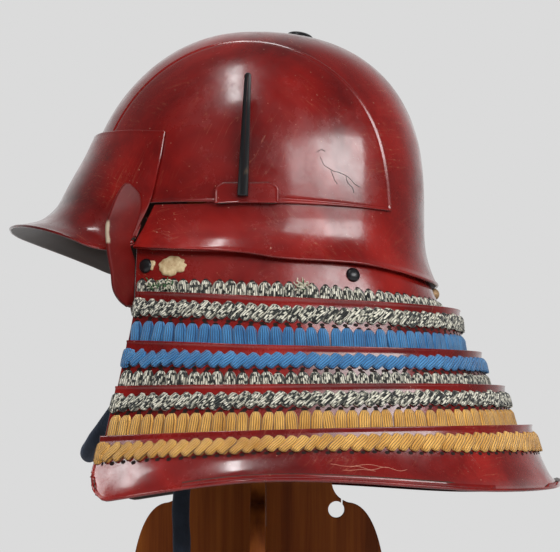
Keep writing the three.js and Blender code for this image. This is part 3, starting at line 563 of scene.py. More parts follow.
class Paint(Nodes):
    """A node material in the making."""

    def __init__(self, name):
        self.material = bpy.data.materials.new(name)
        self.material.use_nodes = True
        super().__init__(self.material.node_tree)
        self.shader = self.nodes["Principled BSDF"]

    def set(self, **values):
        for key, value in values.items():
            self.feed(self.shader.inputs[key.replace("_", " ")], value)


def scratches(paint, scale, turn, sharp):
    """Fine straight marks running one way: white on black."""
    size = (scale, scale * LACQUER["stretch"], scale)
    mapping = paint.node("ShaderNodeMapping", inputs={"Vector": paint.where(turn=turn), "Scale": size})
    vector = mapping.outputs["Vector"]
    wave = paint.noise(1.0, 2.0, vector, 0.5, 0.4)
    line = paint.band(paint.math("ABSOLUTE", paint.math("SUBTRACT", wave, 0.5)), 0.0, sharp, 1.0, 0.0)
    patch = paint.band(paint.noise(scale * 0.9, 2.0), 0.55, 0.7)
    return paint.times(line, patch, True)


def red_lacquer(name="red lacquer", gloss=True):
    paint = Paint(name)
    cloud = paint.noise(11.0, 5.0, roughness=0.6, distortion=0.6)
    base = paint.ramp(cloud, [(0.34, LACQUER["dark"]), (0.5, LACQUER["middle"]), (0.68, LACQUER["light"])])
    marks = scratches(paint, 16.0, (0.5, 0.2, 0.3), 0.008)
    for scale, turn in ((21.0, (1.4, 0.3, 0.1)), (30.0, (2.3, -0.2, 0.4))):
        marks = paint.math("MAXIMUM", marks, scratches(paint, scale, turn, 0.007))
    base = paint.mix(paint.times(marks, 0.38), base, LACQUER["scratch"])
    specks = paint.band(paint.noise(540.0, 1.0), 0.76, 0.8)
    base = paint.mix(paint.times(specks, 0.55), base, LACQUER["speck"])
    smudge = paint.noise(30.0, 6.0, roughness=0.75)
    worn = paint.noise(42.0, 4.0, roughness=0.6)
    if gloss:
        paint.set(
            Roughness=paint.band(smudge, 0.3, 0.7, 0.12, 0.36),
            Coat_Weight=paint.band(smudge, 0.35, 0.65, 0.75, 0.35),
            Coat_Roughness=paint.band(smudge, 0.3, 0.7, 0.05, 0.2),
        )
    else:
        parts = paint.node("ShaderNodeSeparateXYZ", inputs={
            "Vector": paint.node("ShaderNodeTexCoord").outputs["Object"]})
        edge = paint.plus(parts.outputs["Y"], paint.times(worn, 0.006))
        bare = paint.band(edge, EAR_WEAR["y"], EAR_WEAR["y"] - 0.0008)
        for low, high in (EAR_WEAR["low"], EAR_WEAR["high"]):
            bare = paint.times(bare, paint.band(parts.outputs["Z"], low, high))
        base = paint.mix(bare, base, EAR_WEAR["colour"])
        # Painted shade: the ears' lacquer is darkened, as their faces are turned away from the lights; the
        # duller satin finish is real.
        base = paint.mix(0.4, base, (0.03, 0.002, 0.002))
        paint.set(Roughness=0.45, Specular_IOR_Level=0.3)
    paint.set(
        Base_Color=base,
        Normal=paint.bump(paint.plus(worn, paint.times(marks, -0.15)), 0.25, 0.0009),
    )
    return paint.material


BRAID_TONES = {"blue": ((0.03, 0.15, 0.36), (0.07, 0.27, 0.55)),
               "gold": ((0.55, 0.26, 0.045), (0.85, 0.48, 0.12))}
# Painted shade: darker colours mixed in between the ribs and toward each strand's edges.
BRAID_GROOVE_SHADE = {"mixed": (0.02, 0.02, 0.017), "blue": (0.008, 0.03, 0.09), "gold": (0.12, 0.05, 0.012)}


def braid(name, kind):
    """A flat braid: five ribs side by side, each of small slanting stitches. U runs across the strand
    and V along it, in millimetres."""
    paint = Paint(name)
    uv = paint.node("ShaderNodeUVMap", {"uv_map": "UVMap"}).outputs["UV"]
    parts = paint.node("ShaderNodeSeparateXYZ", inputs={"Vector": uv})
    across, down = parts.outputs["X"], parts.outputs["Y"]
    wobble = paint.noise(300.0, 2.0)
    across = paint.plus(across, paint.times(paint.math("SUBTRACT", wobble, 0.5), 0.6))
    rib = paint.math("DIVIDE", across, BRAID["rib"])
    inside = paint.math("FRACT", rib)
    round_rib = paint.math("SINE", paint.times(inside, math.pi))
    slant = paint.plus(paint.math("DIVIDE", down, 1.15), paint.times(inside, 0.8))
    stitch = paint.math("ABSOLUTE", paint.math("SINE", paint.times(slant, math.pi)))
    height = paint.plus(round_rib, paint.times(stitch, 0.25))
    # Painted shade: where this share is low, between the ribs and near the strand's edges, the colour turns
    # to the groove shade.
    unshaded = paint.band(round_rib, 0.0, 0.6)
    place = paint.math("FRACT", paint.math("DIVIDE", across, BRAID["width"]))
    to_edge = paint.math("ABSOLUTE", paint.math("SUBTRACT", place, 0.5))
    unshaded = paint.times(unshaded, paint.band(to_edge, 0.38, 0.5, 1.0, 0.12))
    if kind == "mixed":
        cell = paint.node("ShaderNodeCombineXYZ", inputs={
            "X": paint.math("FLOOR", paint.times(rib, 1.4)),
            "Y": paint.math("FLOOR", paint.times(slant, 0.6))}).outputs["Vector"]
        random = paint.node("ShaderNodeTexWhiteNoise", {"noise_dimensions": "2D"}, {"Vector": cell})
        blotch = paint.noise(420.0, 2.0)
        value = paint.plus(paint.times(random.outputs["Value"], 0.8), paint.times(blotch, 0.35))
        colour = paint.ramp(value, [
            (0.4, (0.01, 0.012, 0.012)), (0.52, (0.06, 0.065, 0.055)), (0.6, (0.45, 0.43, 0.34)),
            (0.8, (0.8, 0.77, 0.64))])
    else:
        dark, light = BRAID_TONES[kind]
        colour = paint.ramp(paint.noise(70.0, 3.0), [(0.3, dark), (0.7, light)])
    paint.set(
        Base_Color=paint.mix(unshaded, BRAID_GROOVE_SHADE[kind], colour),
        Roughness=0.75,
        Sheen_Weight=0.25,
        Specular_IOR_Level=0.25,
        Normal=paint.bump(height, 0.9, 0.0008),
    )
    return paint.material


def plain(name, colour, roughness, spot=None, bump=None, metallic=0.0):
    """One colour, or two in spots (scale, second colour, where the first ends and the second starts),
    with a bump (scale, strength, depth, detail)."""
    paint = Paint(name)
    base = (*colour, 1)
    if spot:
        scale, second, low, high = (*spot, 0.35, 0.7)[:4]
        base = paint.ramp(paint.noise(scale, 4.0), [(low, colour), (high, second)])
    paint.set(Base_Color=base, Roughness=roughness, Metallic=metallic)
    if bump:
        scale, strength, depth, detail = (*bump, 4.0)[:4]
        paint.set(Normal=paint.bump(paint.noise(scale, detail), strength, depth))
    return paint.material


NAVY_TONES = [(0.3, (0.006, 0.009, 0.016)), (0.7, (0.016, 0.024, 0.04))]


def navy_cloth():
    paint = Paint("navy cloth")
    weave = paint.noise(900.0, 2.0)
    paint.set(
        Base_Color=paint.ramp(paint.noise(60.0, 4.0), NAVY_TONES),
        Roughness=0.95,
        Sheen_Weight=0.5,
        Sheen_Roughness=0.4,
        Sheen_Tint=(0.25, 0.3, 0.42, 1),
        Normal=paint.bump(paint.plus(weave, paint.noise(110.0, 3.0)), 0.6, 0.0008),
    )
    return paint.material


def wood():
    paint = Paint("oiled wood")
    grain = paint.noise(1.0, 5.0, paint.where((150.0, 150.0, 5.0)), 0.6)
    broad = paint.noise(1.0, 2.0, paint.where((30.0, 30.0, 2.0)), 0.5)
    value = paint.plus(paint.times(grain, 0.65), paint.times(broad, 0.4))
    colour = paint.ramp(value, [(0.36, (0.09, 0.018, 0.003)), (0.5, (0.22, 0.05, 0.007)),
                                 (0.68, (0.36, 0.1, 0.014))])
    paint.set(
        Base_Color=colour,
        Roughness=0.6,
        Specular_IOR_Level=0.2,
        Normal=paint.bump(grain, 0.25, 0.0006),
    )
    return paint.material


RED = red_lacquer()
# The ears' lacquer: duller, and darkened as painted shade.
SATIN_WITH_SHADE = red_lacquer("satin lacquer with painted shade", False)
INNER = plain("dark inner lacquer", (0.03, 0.018, 0.014), 0.42, (14.0, (0.07, 0.045, 0.036), 0.3, 0.7),
              (60.0, 0.3, 0.001))
BLACK = plain("black lacquer", (0.008, 0.008, 0.009), 0.3, (90.0, (0.07, 0.045, 0.03), 0.62, 0.75),
              (120.0, 0.3, 0.0006, 3.0))
BRAIDS = {kind: braid(kind + " braid", kind) for kind in ("mixed", "blue", "gold")}
# Painted shade for lacing holes, strand feet and the prong's eye; also the real colour of the lacquer
# cracks.
HOLE_SHADE_AND_CRACK = plain("hole shade and crack lines", (0.012, 0.006, 0.005), 0.9)
LEATHER = plain("bare leather", (0.62, 0.5, 0.3), 0.85, (240.0, (0.34, 0.2, 0.09)), (350.0, 0.5, 0.0006))
SCUFF = plain("scuffed lacquer", (0.42, 0.16, 0.11), 0.6)
CREAM_THREAD = plain("cream thread", (0.6, 0.57, 0.45), 0.9)
GREEN_THREAD = plain("green thread", (0.05, 0.13, 0.05), 0.9)
GILT = plain("worn gilding", (0.56, 0.36, 0.19), 0.55, (300.0, (0.25, 0.14, 0.07)), (300.0, 0.4, 0.0006),
             0.3)
NAVY = navy_cloth()
WOOD = wood()

# ---- Bowl plates ----

CROWN_INSIDE = (0, BOWL["middle_y"], BOWL["equator_z"] + BOWL["height"])


def band_point(angle, down, offset):
    around = np.abs(angle)
    rim_z = along(BAND_RIM, "angle", "z", around)
    front = smoothstep(around, 98, 106)
    top_z = BAND["tuck_z"] + (BAND["front_top_z"] - BAND["tuck_z"]) * front
    z = top_z + (rim_z - top_z) * down
    share = np.clip((BAND["flare_start_z"] - z) / (BAND["flare_start_z"] - rim_z), 0, 1)
    lift = BAND["front_lift"] * smoothstep(around, 108, 124)
    outward = lift + along(BAND_RIM, "angle", "flare", around) * share ** BAND["flare_power"]
    point = bowl_point(around_at(around, z), outward + offset)
    point[..., 0] *= np.where(angle < 0, -1, 1)
    return point


def bowl_shell():
    pile = Pile()
    turns = np.linspace(0, 360, 241)
    tilts = np.concatenate([np.linspace(0, 84, 57), [86, 87.5, 88.8, 89.6]])
    turn, tilt = np.meshgrid(np.radians(turns), np.radians(tilts))
    aim = np.stack([np.sin(turn) * np.cos(tilt), np.cos(turn) * np.cos(tilt), np.sin(tilt)], axis=-1)
    plate(pile, bowl_point(aim, 0), CROWN_THICKNESS, CROWN_INSIDE, sides=())
    downs = edge_steps(60, 1.0, 34)
    ends = edge_steps(560, 1.0, 200, -1, 1)
    down, end = np.meshgrid(downs, ends, indexing="ij")
    angle = along(BAND_FRONT, "down", "angle", down) * end
    lip = BAND["lip"] * ridge(BAND["depth"] * (1 - down), 1.2, 1.1)
    grid = band_point(angle, down, lip - 0.04)
    plate(pile, grid, BAND["thickness"], INSIDE_BOWL, sides=("last", "start", "end"))
    pile.piece("bowl and base band", [RED, INNER], "red_lacquer", "crown_plate", "base_band")


def side_plate_rim():
    turns = np.concatenate([np.linspace(-8.2, 22, 22), np.linspace(24, 158, 90)])
    rim = [over_top(turns, along(SEAM, "turn", "spread", turns))]
    bottom_rear = bowl_point(rim[0][:1], 0)[0]
    seam_end = rim[0][-1]
    bottom_front = beside_at(SIDE_PLATE["front_y"], SIDE_PLATE["bottom_front_z"])
    share = np.linspace(0, 1, 26)[1:, None]
    rim.append(unit(seam_end + (bottom_front - seam_end) * share))
    share = np.linspace(0, 1, 60)[1:-1]
    y = SIDE_PLATE["front_y"] + (bottom_rear[1] - SIDE_PLATE["front_y"]) * share
    z = SIDE_PLATE["bottom_front_z"] + (bottom_rear[2] - SIDE_PLATE["bottom_front_z"]) * share
    rim.append(beside_at(y, z))
    return np.concatenate(rim)


def inset_rings(rim, middle, span, from_edge, rises, inner, surface):
    """Rings from a rim in to its middle: first at distances from the rim, each with its rise, and then
    at shares of what is left."""
    shares = [1 - away / span for away in from_edge]
    shares += [shares[-1] * part for part in inner]
    rises = [*rises] + [0.0] * len(inner)
    rings = []
    for share, rise in zip(shares, rises):
        rings.append(surface(middle + (rim - middle) * np.maximum(share, 0.002)[:, None], rise))
    return np.stack(rings)


def side_plate(word, side):
    rim = side_plate_rim()
    middle = beside_at(SIDE_PLATE["y"], SIDE_PLATE["z"])
    span = np.linalg.norm(bowl_point(rim, 0) - bowl_point(middle, 0), axis=-1)
    from_edge = np.array([0, 0.1, 0.35, 0.8, 1.3, 1.9, 2.5, 3.1, 3.7, 4.4, 5.4, 7, 9.5])
    bead = 0.45 * ridge(from_edge, 1.5, 1.0) - 0.25 * ridge(from_edge, 3.6, 0.8)

    def surface(aim, rise):
        return bowl_point(unit(aim), SIDE_PLATE["outer"] + rise)

    grid = inset_rings(rim, middle, span, from_edge, bead, np.linspace(1, 0, 26)[1:], surface)
    grid = np.concatenate([grid, grid[:, :1]], axis=1)
    grid[..., 0] *= side
    pile = Pile()
    away = (-60 * side, BOWL["middle_y"], BOWL["equator_z"])
    plate(pile, grid, SIDE_PLATE["thickness"], away, sides=("first",))
    pile.piece("side plate " + word, [RED, INNER], "red_lacquer", "side_plate_" + word)


def brow_point(share, drop):
    across = np.abs(share)
    top_z = along(BROW_STATIONS, "share", "top_z", across)
    rim = [along(BROW_STATIONS, "share", key, across) for key in ("rim_x", "rim_y", "rim_z")]
    z = top_z + (rim[2] - top_z) * drop
    angle = across * along(BROW_REAR, "z", "angle", z)
    point = bowl_point(around_at(180 - angle, z), BROW["outer"])
    foot = bowl_point(around_at(180 - angle, rim[2]), BROW["outer"])
    point[..., 2] = z
    sweep = along(BROW_SWEEP, "drop", "sweep", drop)
    point[..., 0] += sweep * (rim[0] - foot[..., 0])
    point[..., 1] += sweep * (rim[1] - foot[..., 1])
    point[..., 0] *= np.where(share < 0, -1, 1)
    return point


def brow_plate():
    drops = edge_steps(110, 0.9, 90)
    shares = edge_steps(330, 0.9, 170, -1, 1)
    drop, share = np.meshgrid(drops, shares, indexing="ij")
    grid = brow_point(share, drop)
    normal = normals_of(grid, BROW["inside"])
    to_rim = edge_distance(grid, ("last",))
    to_top = edge_distance(grid, ("first",))
    to_rear = edge_distance(grid, ("start", "end"))
    bead = ridge(to_rim, 1.4, 1.2) + 0.25 * ridge(to_top, 1.2, 0.9) + 0.3 * ridge(to_rear, 1.3, 0.9)
    pile = Pile()
    plate(pile, grid + normal * bead[..., None], BROW["thickness"], BROW["inside"])
    pile.piece("brow plate and peak", [RED, INNER], "red_lacquer", "brow_plate")


# ---- Neck guard ----


def lame_point(name, share, down, offset):
    table = {key: [row[k] for row in LAMES[name]] for k, key in enumerate(LAME_COLUMNS)}
    share, down = np.broadcast_arrays(np.asarray(share, float), np.asarray(down, float))

    def at(key):
        return along(table, "down", key, down)

    half, front_x, front_y = at("half"), at("front_x"), at("front_y")
    power = NECK["plan_power"]
    middle = NECK["widest_y"]
    ahead = (middle - front_y) / (1 - (front_x / half) ** power) ** (1 / power)
    end_angle = np.degrees(np.arctan2(front_x / half, -(middle - front_y) / ahead))
    around = np.abs(share) * end_angle
    x, y = np.sin(np.radians(around)), np.cos(np.radians(around))
    reach = (x ** power + np.abs(y) ** power) ** (-1 / power)
    lengthwise = np.where(y > 0, at("back") - middle, ahead)
    heights = [at("rear"), at("quarter"), at("side"), at("front")]
    angles = [np.zeros_like(end_angle), 45 + 0 * end_angle, 90 + 0 * end_angle, end_angle]
    z = smooth_curve(angles, heights, around)
    offset = np.asarray(offset, float)
    return np.stack([
        np.sign(share) * (half + offset) * x * reach,
        middle + (lengthwise + offset) * y * reach,
        z + 0 * x,
    ], axis=-1)


def corner_lift(name, point, share, down):
    """The hem's front corners are rounded."""
    if name != "neck_lame_5":
        return point
    end = lame_point(name, np.where(share < 0, -1.0, 1.0), down, 0)
    left = np.clip(HEM_CORNER - np.linalg.norm(point - end, axis=-1), 0, HEM_CORNER)
    point[..., 2] += down ** 2 * (HEM_CORNER - np.sqrt(HEM_CORNER ** 2 - left ** 2))
    return point


def lame_grid(name, downs, shares):
    down, share = np.meshgrid(downs, shares, indexing="ij")
    return corner_lift(name, lame_point(name, share, down, 0.0), share, down)


def ear_grid(side):
    heights = edge_steps(84, 1.4, 70, 269.5, 353.6)
    across = edge_steps(18, 1.4, 16)
    z, share = np.meshgrid(heights, across, indexing="ij")
    ends = {key: along(EAR_SECTIONS, "z", key, z) for key in EAR_SECTIONS if key != "z"}
    x = ends["rear_x"] + (ends["front_x"] - ends["rear_x"]) * share
    y = ends["rear_y"] + (ends["front_y"] - ends["rear_y"]) * share
    grid = np.stack([side * x, y, z], axis=-1)
    normal = normals_of(grid, EAR["inside"])
    puff = EAR["bulge"] * np.sin(np.pi * share) * smoothstep(z, 272, 300) * smoothstep(-z, -352, -335)
    return grid + normal * puff[..., None]


def lame(name, number):
    height = {1: 44, 5: 62}.get(number, 43)
    downs = edge_steps(height, 1.3, 40 if number == 5 else 26)
    shares = edge_steps({1: 420, 2: 460, 3: 510, 4: 560, 5: 640}[number], 1.3, 220, -1, 1)
    grid = lame_grid(name, downs, shares)
    normal = normals_of(grid, NECK["middle"])
    to_top = edge_distance(grid, ("first",))
    to_end = edge_distance(grid, ("start", "end"))
    bead = 0 * to_top
    if number > 1:
        bead = 1.1 * ridge(to_top, 1.1, 1.0) + 0.3 * ridge(to_end, 1.4, 0.9)
    if number == 5:
        bead += 0.6 * ridge(edge_distance(grid, ("last",)), 1.4, 1.3)
    pile = Pile()
    plate(pile, grid + normal * bead[..., None], NECK["thickness"], NECK["middle"])
    if number == 1:
        for side in (1, -1):
            plate(pile, ear_grid(side), EAR["thickness"], (0, EAR["inside"][1], EAR["inside"][2]),
                  mats=(2, 1))
    pile.piece(name.replace("_", " "), [RED, INNER, SATIN_WITH_SHADE], "red_lacquer", name)


# ---- Lacing ----


@functools.cache
def lame_length(name):
    """The way along a lame's middle line, in millimetres from its left end, at shares of its length."""
    share = np.linspace(-1, 1, 400)
    return share, way_along(lame_point(name, share, 0.5, 0))


def strand(pile, name, path_s, path_d, half, rise, twist=0.0):
    """One braid laid on a lame. The path is given by ways along and down the lame in millimetres from
    its left end and its top edge; half is the half-width and rise the height at each point."""
    share_line, way = lame_length(name)
    tall = LAME_TALL[name]
    direction = unit(np.gradient(np.stack([path_s, path_d], axis=-1), axis=0))
    side = np.stack([-direction[:, 1], direction[:, 0]], axis=-1)
    cross = np.linspace(-1, 1, 9)
    s = path_s[:, None] + side[:, :1] * half[:, None] * cross
    d = path_d[:, None] + side[:, 1:] * half[:, None] * cross
    share = np.interp(s, way, share_line)
    down = np.clip(d / tall, -0.05, 1.1)
    crown = np.sqrt(np.maximum(1 - cross ** 2, 0))
    height = 0.35 + rise[:, None] * (0.25 + 0.75 * crown) + twist * cross
    height = np.where(np.abs(cross) > 0.99, -0.3, height)
    grid = lame_point(name, share, down, height)
    run = way_along(grid[:, 4])
    u = (cross * half.max() + half.max())[None, :] + 0 * s
    v = run[:, None] + 0 * s + rng.uniform(0, 40)
    uvs = np.stack([u + rng.integers(0, 50) * BRAID["width"], v], axis=-1)
    normal = grid - np.array([0, -10, grid[..., 2].mean()])
    lead = np.cross(grid[1, 4] - grid[0, 4], grid[0, 5] - grid[0, 4])
    flip = np.dot(lead, normal[0, 4]) > 0
    pile.grid(grid, uvs, 0, flip)


LAME_TALL = {}
for lame_name in LAMES:
    spot = lame_point(lame_name, np.full(60, 0.62), np.linspace(0, 1, 60), 0)
    LAME_TALL[lame_name] = float(np.linalg.norm(np.diff(spot, axis=0), axis=-1).sum())


def spread(name, margin):
    """A lame's length, and the number and pitch of the strands that fit between margins at its ends."""
    length = lame_length(name)[1][-1]
    room = length - 2 * margin
    count = int(round(room / BRAID["pitch"]))
    return length, count, room / count


def upright_row(pile, name, start, end):
    tall = LAME_TALL[name]
    _, count, pitch = spread(name, BRAID["upright_margin"])
    t = np.array([0, 0.05, 0.12, 0.22, 0.35, 0.5, 0.68, 0.85, 1.0])
    top = start * tall
    bottom = min(end * tall + 3, tall + 1)
    for k in range(count):
        centre = BRAID["upright_margin"] + (k + 0.5) * pitch
        lean = rng.normal(0, 0.7)
        wide = BRAID["half_width"] * rng.uniform(0.92, 1.1) * pitch / BRAID["pitch"]
        path_s = centre + rng.normal(0, 0.25) + lean * (t - 0.5) * 1.6
        path_d = top + rng.normal(0, 0.3) + t * (bottom - top)
        half = wide * (0.45 + 0.55 * np.clip(t / 0.2, 0, 1) ** 0.6)
        rise = LACING_THICKNESS * np.clip(0.25 + t / 0.14, 0, 1) * rng.uniform(0.85, 1.15)
        rise = rise * (1 - 0.35 * smoothstep(t, 0.6, 1))
        strand(pile, name, path_s, path_d, half, rise)
        # Painted shade: a dark disc at the hole each strand comes out of.
        hole_shade_at(pile, name, path_s[0], path_d[0] - 0.2)


def hole_shade_at(pile, name, s, d):
    """A dark disc painted as the shade in the mouth of a lacing hole, just proud of the lame."""
    share_line, way = lame_length(name)
    turn = full_turn(10)
    ring_s = np.concatenate([[s], s + 1.7 * np.cos(turn)])
    ring_d = np.concatenate([[d], d + 1.2 * np.sin(turn)])
    share = np.interp(ring_s, way, share_line)
    pile.fan(lame_point(name, share, ring_d / LAME_TALL[name], 0.12), 1)


def slanted_row(pile, name, start, end):
    tall = LAME_TALL[name]
    length, count, pitch = spread(name, BRAID["slanted_margin"])
    top = start * tall
    reach = end * tall - top
    t = np.linspace(0, 1, 11)
    ends = np.sqrt(np.clip(1 - (2 * t - 1) ** 6, 0, 1))
    for place in (BRAID["end_strand"], length - BRAID["end_strand"]):
        path_s = place + 0.3 * np.sin(t * 3)
        path_d = top + reach * t
        strand(pile, name, path_s, path_d, 3.6 * (0.45 + 0.55 * ends), LACING_THICKNESS * (0.3 + 0.7 * ends))
    for k in range(count + 1):
        head = BRAID["slanted_margin"] + k * pitch
        run = BRAID["slanted_run"] * rng.uniform(0.9, 1.1)
        s_curve = t - 0.05 * np.sin(2 * np.pi * t)
        path_s = head + run * (s_curve - 0.5) + rng.normal(0, 0.25)
        path_d = top + 1.6 + rng.normal(0, 0.3) + (reach - 3.2) * t
        path_s = np.clip(path_s, 4, length - 4)
        half = BRAID["slanted_half"] * (0.4 + 0.6 * ends) * rng.uniform(0.93, 1.07)
        rise = (LACING_THICKNESS + 0.6) * (0.3 + 0.7 * ends)
        strand(pile, name, path_s, path_d, half, rise, 0.8)
        # Painted shadow: a dark spot at each strand's foot, where the braid goes into its hole.
        hole_shade_at(pile, name, path_s[-1] + 1.2, path_d[-1] + 1.7)


def lacing_row(name, lame_name, start, end, kind, lie):
    pile = Pile()
    if lie == "upright":
        upright_row(pile, lame_name, start, end)
    else:
        slanted_row(pile, lame_name, start, end)
    pile.piece(name.replace("_", " "), [BRAIDS[kind], HOLE_SHADE_AND_CRACK], "lacing_" + kind, name, weld=False)


# ---- Fittings ----


def frame_at(point, normal):
    """Two directions across a normal."""
    normal = unit(np.asarray(normal, float))
    first = unit(np.cross(np.array([0, 0, 1.0]), normal))
    return point, first, np.cross(normal, first), normal


def revolve(pile, profile, place, count=28):
    """A lathe shape round a normal: the profile is rows of radius and height."""
    point, first, second, normal = place
    turn = full_turn(count)
    ring = np.cos(turn)[:, None] * first + np.sin(turn)[:, None] * second
    rows = [point + radius * ring + height * normal for radius, height in profile]
    pile.grid(np.stack(rows), None, 0, False, closed=True)


def dome_profile(radius, height):
    angles = np.radians(np.linspace(0, 89, 14))
    rows = [(0.01, 0.0), (radius * 0.97, 0.0), (radius, height * 0.06)]
    rows += [(radius * math.cos(a), height * (0.06 + 0.94 * math.sin(a))) for a in angles]
    return rows


def on_first_lame(angle, z, offset=0.0):
    """A point over the first lame, at an angle from the back and a height, and the normal there."""
    share = np.asarray(angle, float) / BAND_FRONT["angle"][-1]
    z = np.asarray(z, float)

    def place(turn, height):
        low = np.zeros(np.broadcast(turn, height).shape)
        down = bisect(low, low + 1, 30, lambda at: lame_point("neck_lame_1", turn, at, 0)[..., 2] > height)
        return lame_point("neck_lame_1", turn, down, 0)

    point = place(share, z)
    sideways = place(share + 0.01, z) - place(share - 0.01, z)
    upward = place(share, z + 1) - place(share, z - 1)
    normal = unit(np.cross(sideways, upward))
    facing = np.sum(normal[..., :2] * point[..., :2], axis=-1, keepdims=True)
    normal = np.where(facing < 0, -normal, normal)
    return point + normal * offset, normal


def rivets():
    for name, angle, z in RIVETS:
        for word, side in SIDES:
            point, normal = on_first_lame(angle, z, 0.1)
            mirror = np.array([side, 1, 1])
            pile = Pile()
            revolve(pile, dome_profile(RIVET["radius"], RIVET["height"] + RIVET["rounder"]),
                    frame_at(point * mirror, normal * mirror))
            pile.piece(name.replace("_", " ") + " " + word, [BLACK], "black_lacquer", name + "_" + word)
    point, normal = on_first_lame(0.0, REAR_RIVET["z"], 0.1)
    pile = Pile()
    revolve(pile, dome_profile(REAR_RIVET["radius"], REAR_RIVET["height"]), frame_at(point, normal))
    pile.piece("rear knob", [GILT], "gilt_knob", "rear_rivet")


def frayed_threads():
    """Loose ends of worn braid on the first lame, on the wearer's left."""
    pile = Pile()
    for first, last, z, count, green in FRAYS:
        for _ in range(count):
            angle = rng.uniform(first, last)
            point, normal = on_first_lame(np.array([angle]), np.array([z + rng.normal(0, 1.5)]))
            along_rim = unit(np.array([normal[0, 1], -normal[0, 0], 0]))
            heading = unit(along_rim * rng.normal(0, 1) + np.array([0, 0, rng.normal(0.1, 0.8)]))
            path = [point[0] + normal[0] * rng.uniform(0.4, 1.8)]
            for _ in range(THREAD["steps"]):
                heading = unit(heading + rng.normal(0, 0.5, 3))
                rise = normal[0] * rng.uniform(-0.1, 0.3)
                path.append(path[-1] + heading * THREAD["step"] + rise)
            tube(pile, np.array(path), THREAD["radius"], sides=5, mat=1 if rng.uniform() < green else 0)
    pile.piece("frayed threads", [CREAM_THREAD, GREEN_THREAD], "lacing_mixed", weld=False)


def cracks():
    """Cracks in the left side plate's lacquer and pale scuffs on the hem."""
    pile = Pile()
    for line in CRACKS:
        path, _ = catmull([(0, y, z) for y, z in line], 24)
        jag = rng.normal(0, 0.16, (len(path), 2))
        aim = beside_at(path[:, 1] + jag[:, 0], path[:, 2] + jag[:, 1])
        tube(pile, bowl_point(aim, SIDE_PLATE["outer"] + 0.02), 0.2, sides=6)
    share = np.linspace(0, 1, 40)
    for first, last, down, swing, turns in SCUFFS:
        wave = down + swing * np.sin(share * turns * 2 * np.pi + first * 50)
        line = lame_point("neck_lame_5", first + (last - first) * share, wave, 0.0)
        tube(pile, line, 0.22, sides=6, mat=1)
    pile.piece("lacquer cracks", [HOLE_SHADE_AND_CRACK, SCUFF], "red_lacquer", weld=False)


def leather_patch():
    """A bare patch with a ragged rim and a notch, and a crumb of it beside."""
    pile = Pile()
    spots = [
        (PATCH["angle"], PATCH["z"], PATCH["width"] / 2, PATCH["height"] / 2, 0.0),
        (PATCH["angle"] + 6.6, PATCH["z"] + 1.6, 1.7, 3.3, 2.0),
    ]
    for angle, z, wide, tall, phase in spots:
        turn = np.linspace(0, 2 * np.pi, 73)
        ragged = 1 + 0.03 * np.sin(5 * turn + phase) + 0.03 * np.sin(11 * turn + 1 + phase)
        if phase == 0:
            ragged -= 0.34 * ridge(turn, 5.25, 0.2) + 0.12 * ridge(turn, 0.35, 0.16)
        else:
            ragged += 0.18 * np.sin(3 * turn)
        rings = np.array([0.02, 0.3, 0.6, 0.85, 0.97, 1.0])
        height = np.array([1, 1, 1, 0.9, 0.55, -0.2]) * PATCH["thickness"]
        share, turned = np.meshgrid(rings, turn, indexing="ij")
        reach = share * ragged
        at_angle = angle - reach * wide * np.cos(turned) / PATCH["arc"]
        at_z = z + reach * tall * np.sin(turned)
        point, normal = on_first_lame(at_angle, at_z)
        grid = point + normal * (height[:, None, None] + 0.1)
        across = np.cross(grid[1, 0] - grid[0, 0], grid[0, 1] - grid[0, 0])
        pile.grid(grid, None, 0, bool(np.dot(across, normal[0, 0]) > 0))
    pile.piece("leather patch", [LEATHER], "worn_leather", "leather_patch")


def prong_plate(word, side):
    rear, front = PRONG_PLATE["rear_y"], PRONG_PLATE["front_y"]
    bottom, top, corner = PRONG_PLATE["bottom_z"], PRONG_PLATE["top_z"], PRONG_PLATE["corner"]
    quarter = np.radians(np.linspace(0, 90, 14))
    rim = [(front + corner - corner * math.cos(a), top - corner + corner * math.sin(a)) for a in quarter]
    rim += [(rear - corner + corner * math.sin(a), top - corner + corner * math.cos(a)) for a in quarter]
    rim += [(rear, z) for z in np.linspace(top - corner, bottom, 8)[1:]]
    rim += [(y, bottom) for y in np.linspace(rear, front, 24)[1:]]
    rim += [(front, z) for z in np.linspace(bottom, top - corner, 8)[1:]]
    rim = np.array(rim)
    middle = np.array([(rear + front) / 2, (bottom + top) / 2])
    span = np.linalg.norm(rim - middle, axis=1)
    from_edge = np.array([0, 0.06, 0.25, 0.6, 1.0, 1.4, 1.8, 2.3, 3.2, 4.6])

    def surface(flat, up):
        return bowl_point(beside_at(flat[:, 0], flat[:, 1]), SIDE_PLATE["outer"] + PRONG_PLATE["rise"] + up)

    bead = 0.5 * ridge(from_edge, 1.0, 0.6)
    grid = inset_rings(rim, middle, span, from_edge, bead, (0.7, 0.4, 0.02), surface)
    grid[..., 0] *= side
    pile = Pile()
    plate(pile, grid, PRONG_PLATE["thick"], (0, BOWL["middle_y"], 345), sides=("first",))
    pile.piece("prong plate " + word, [RED, INNER], "red_lacquer", "prong_plate_" + word)


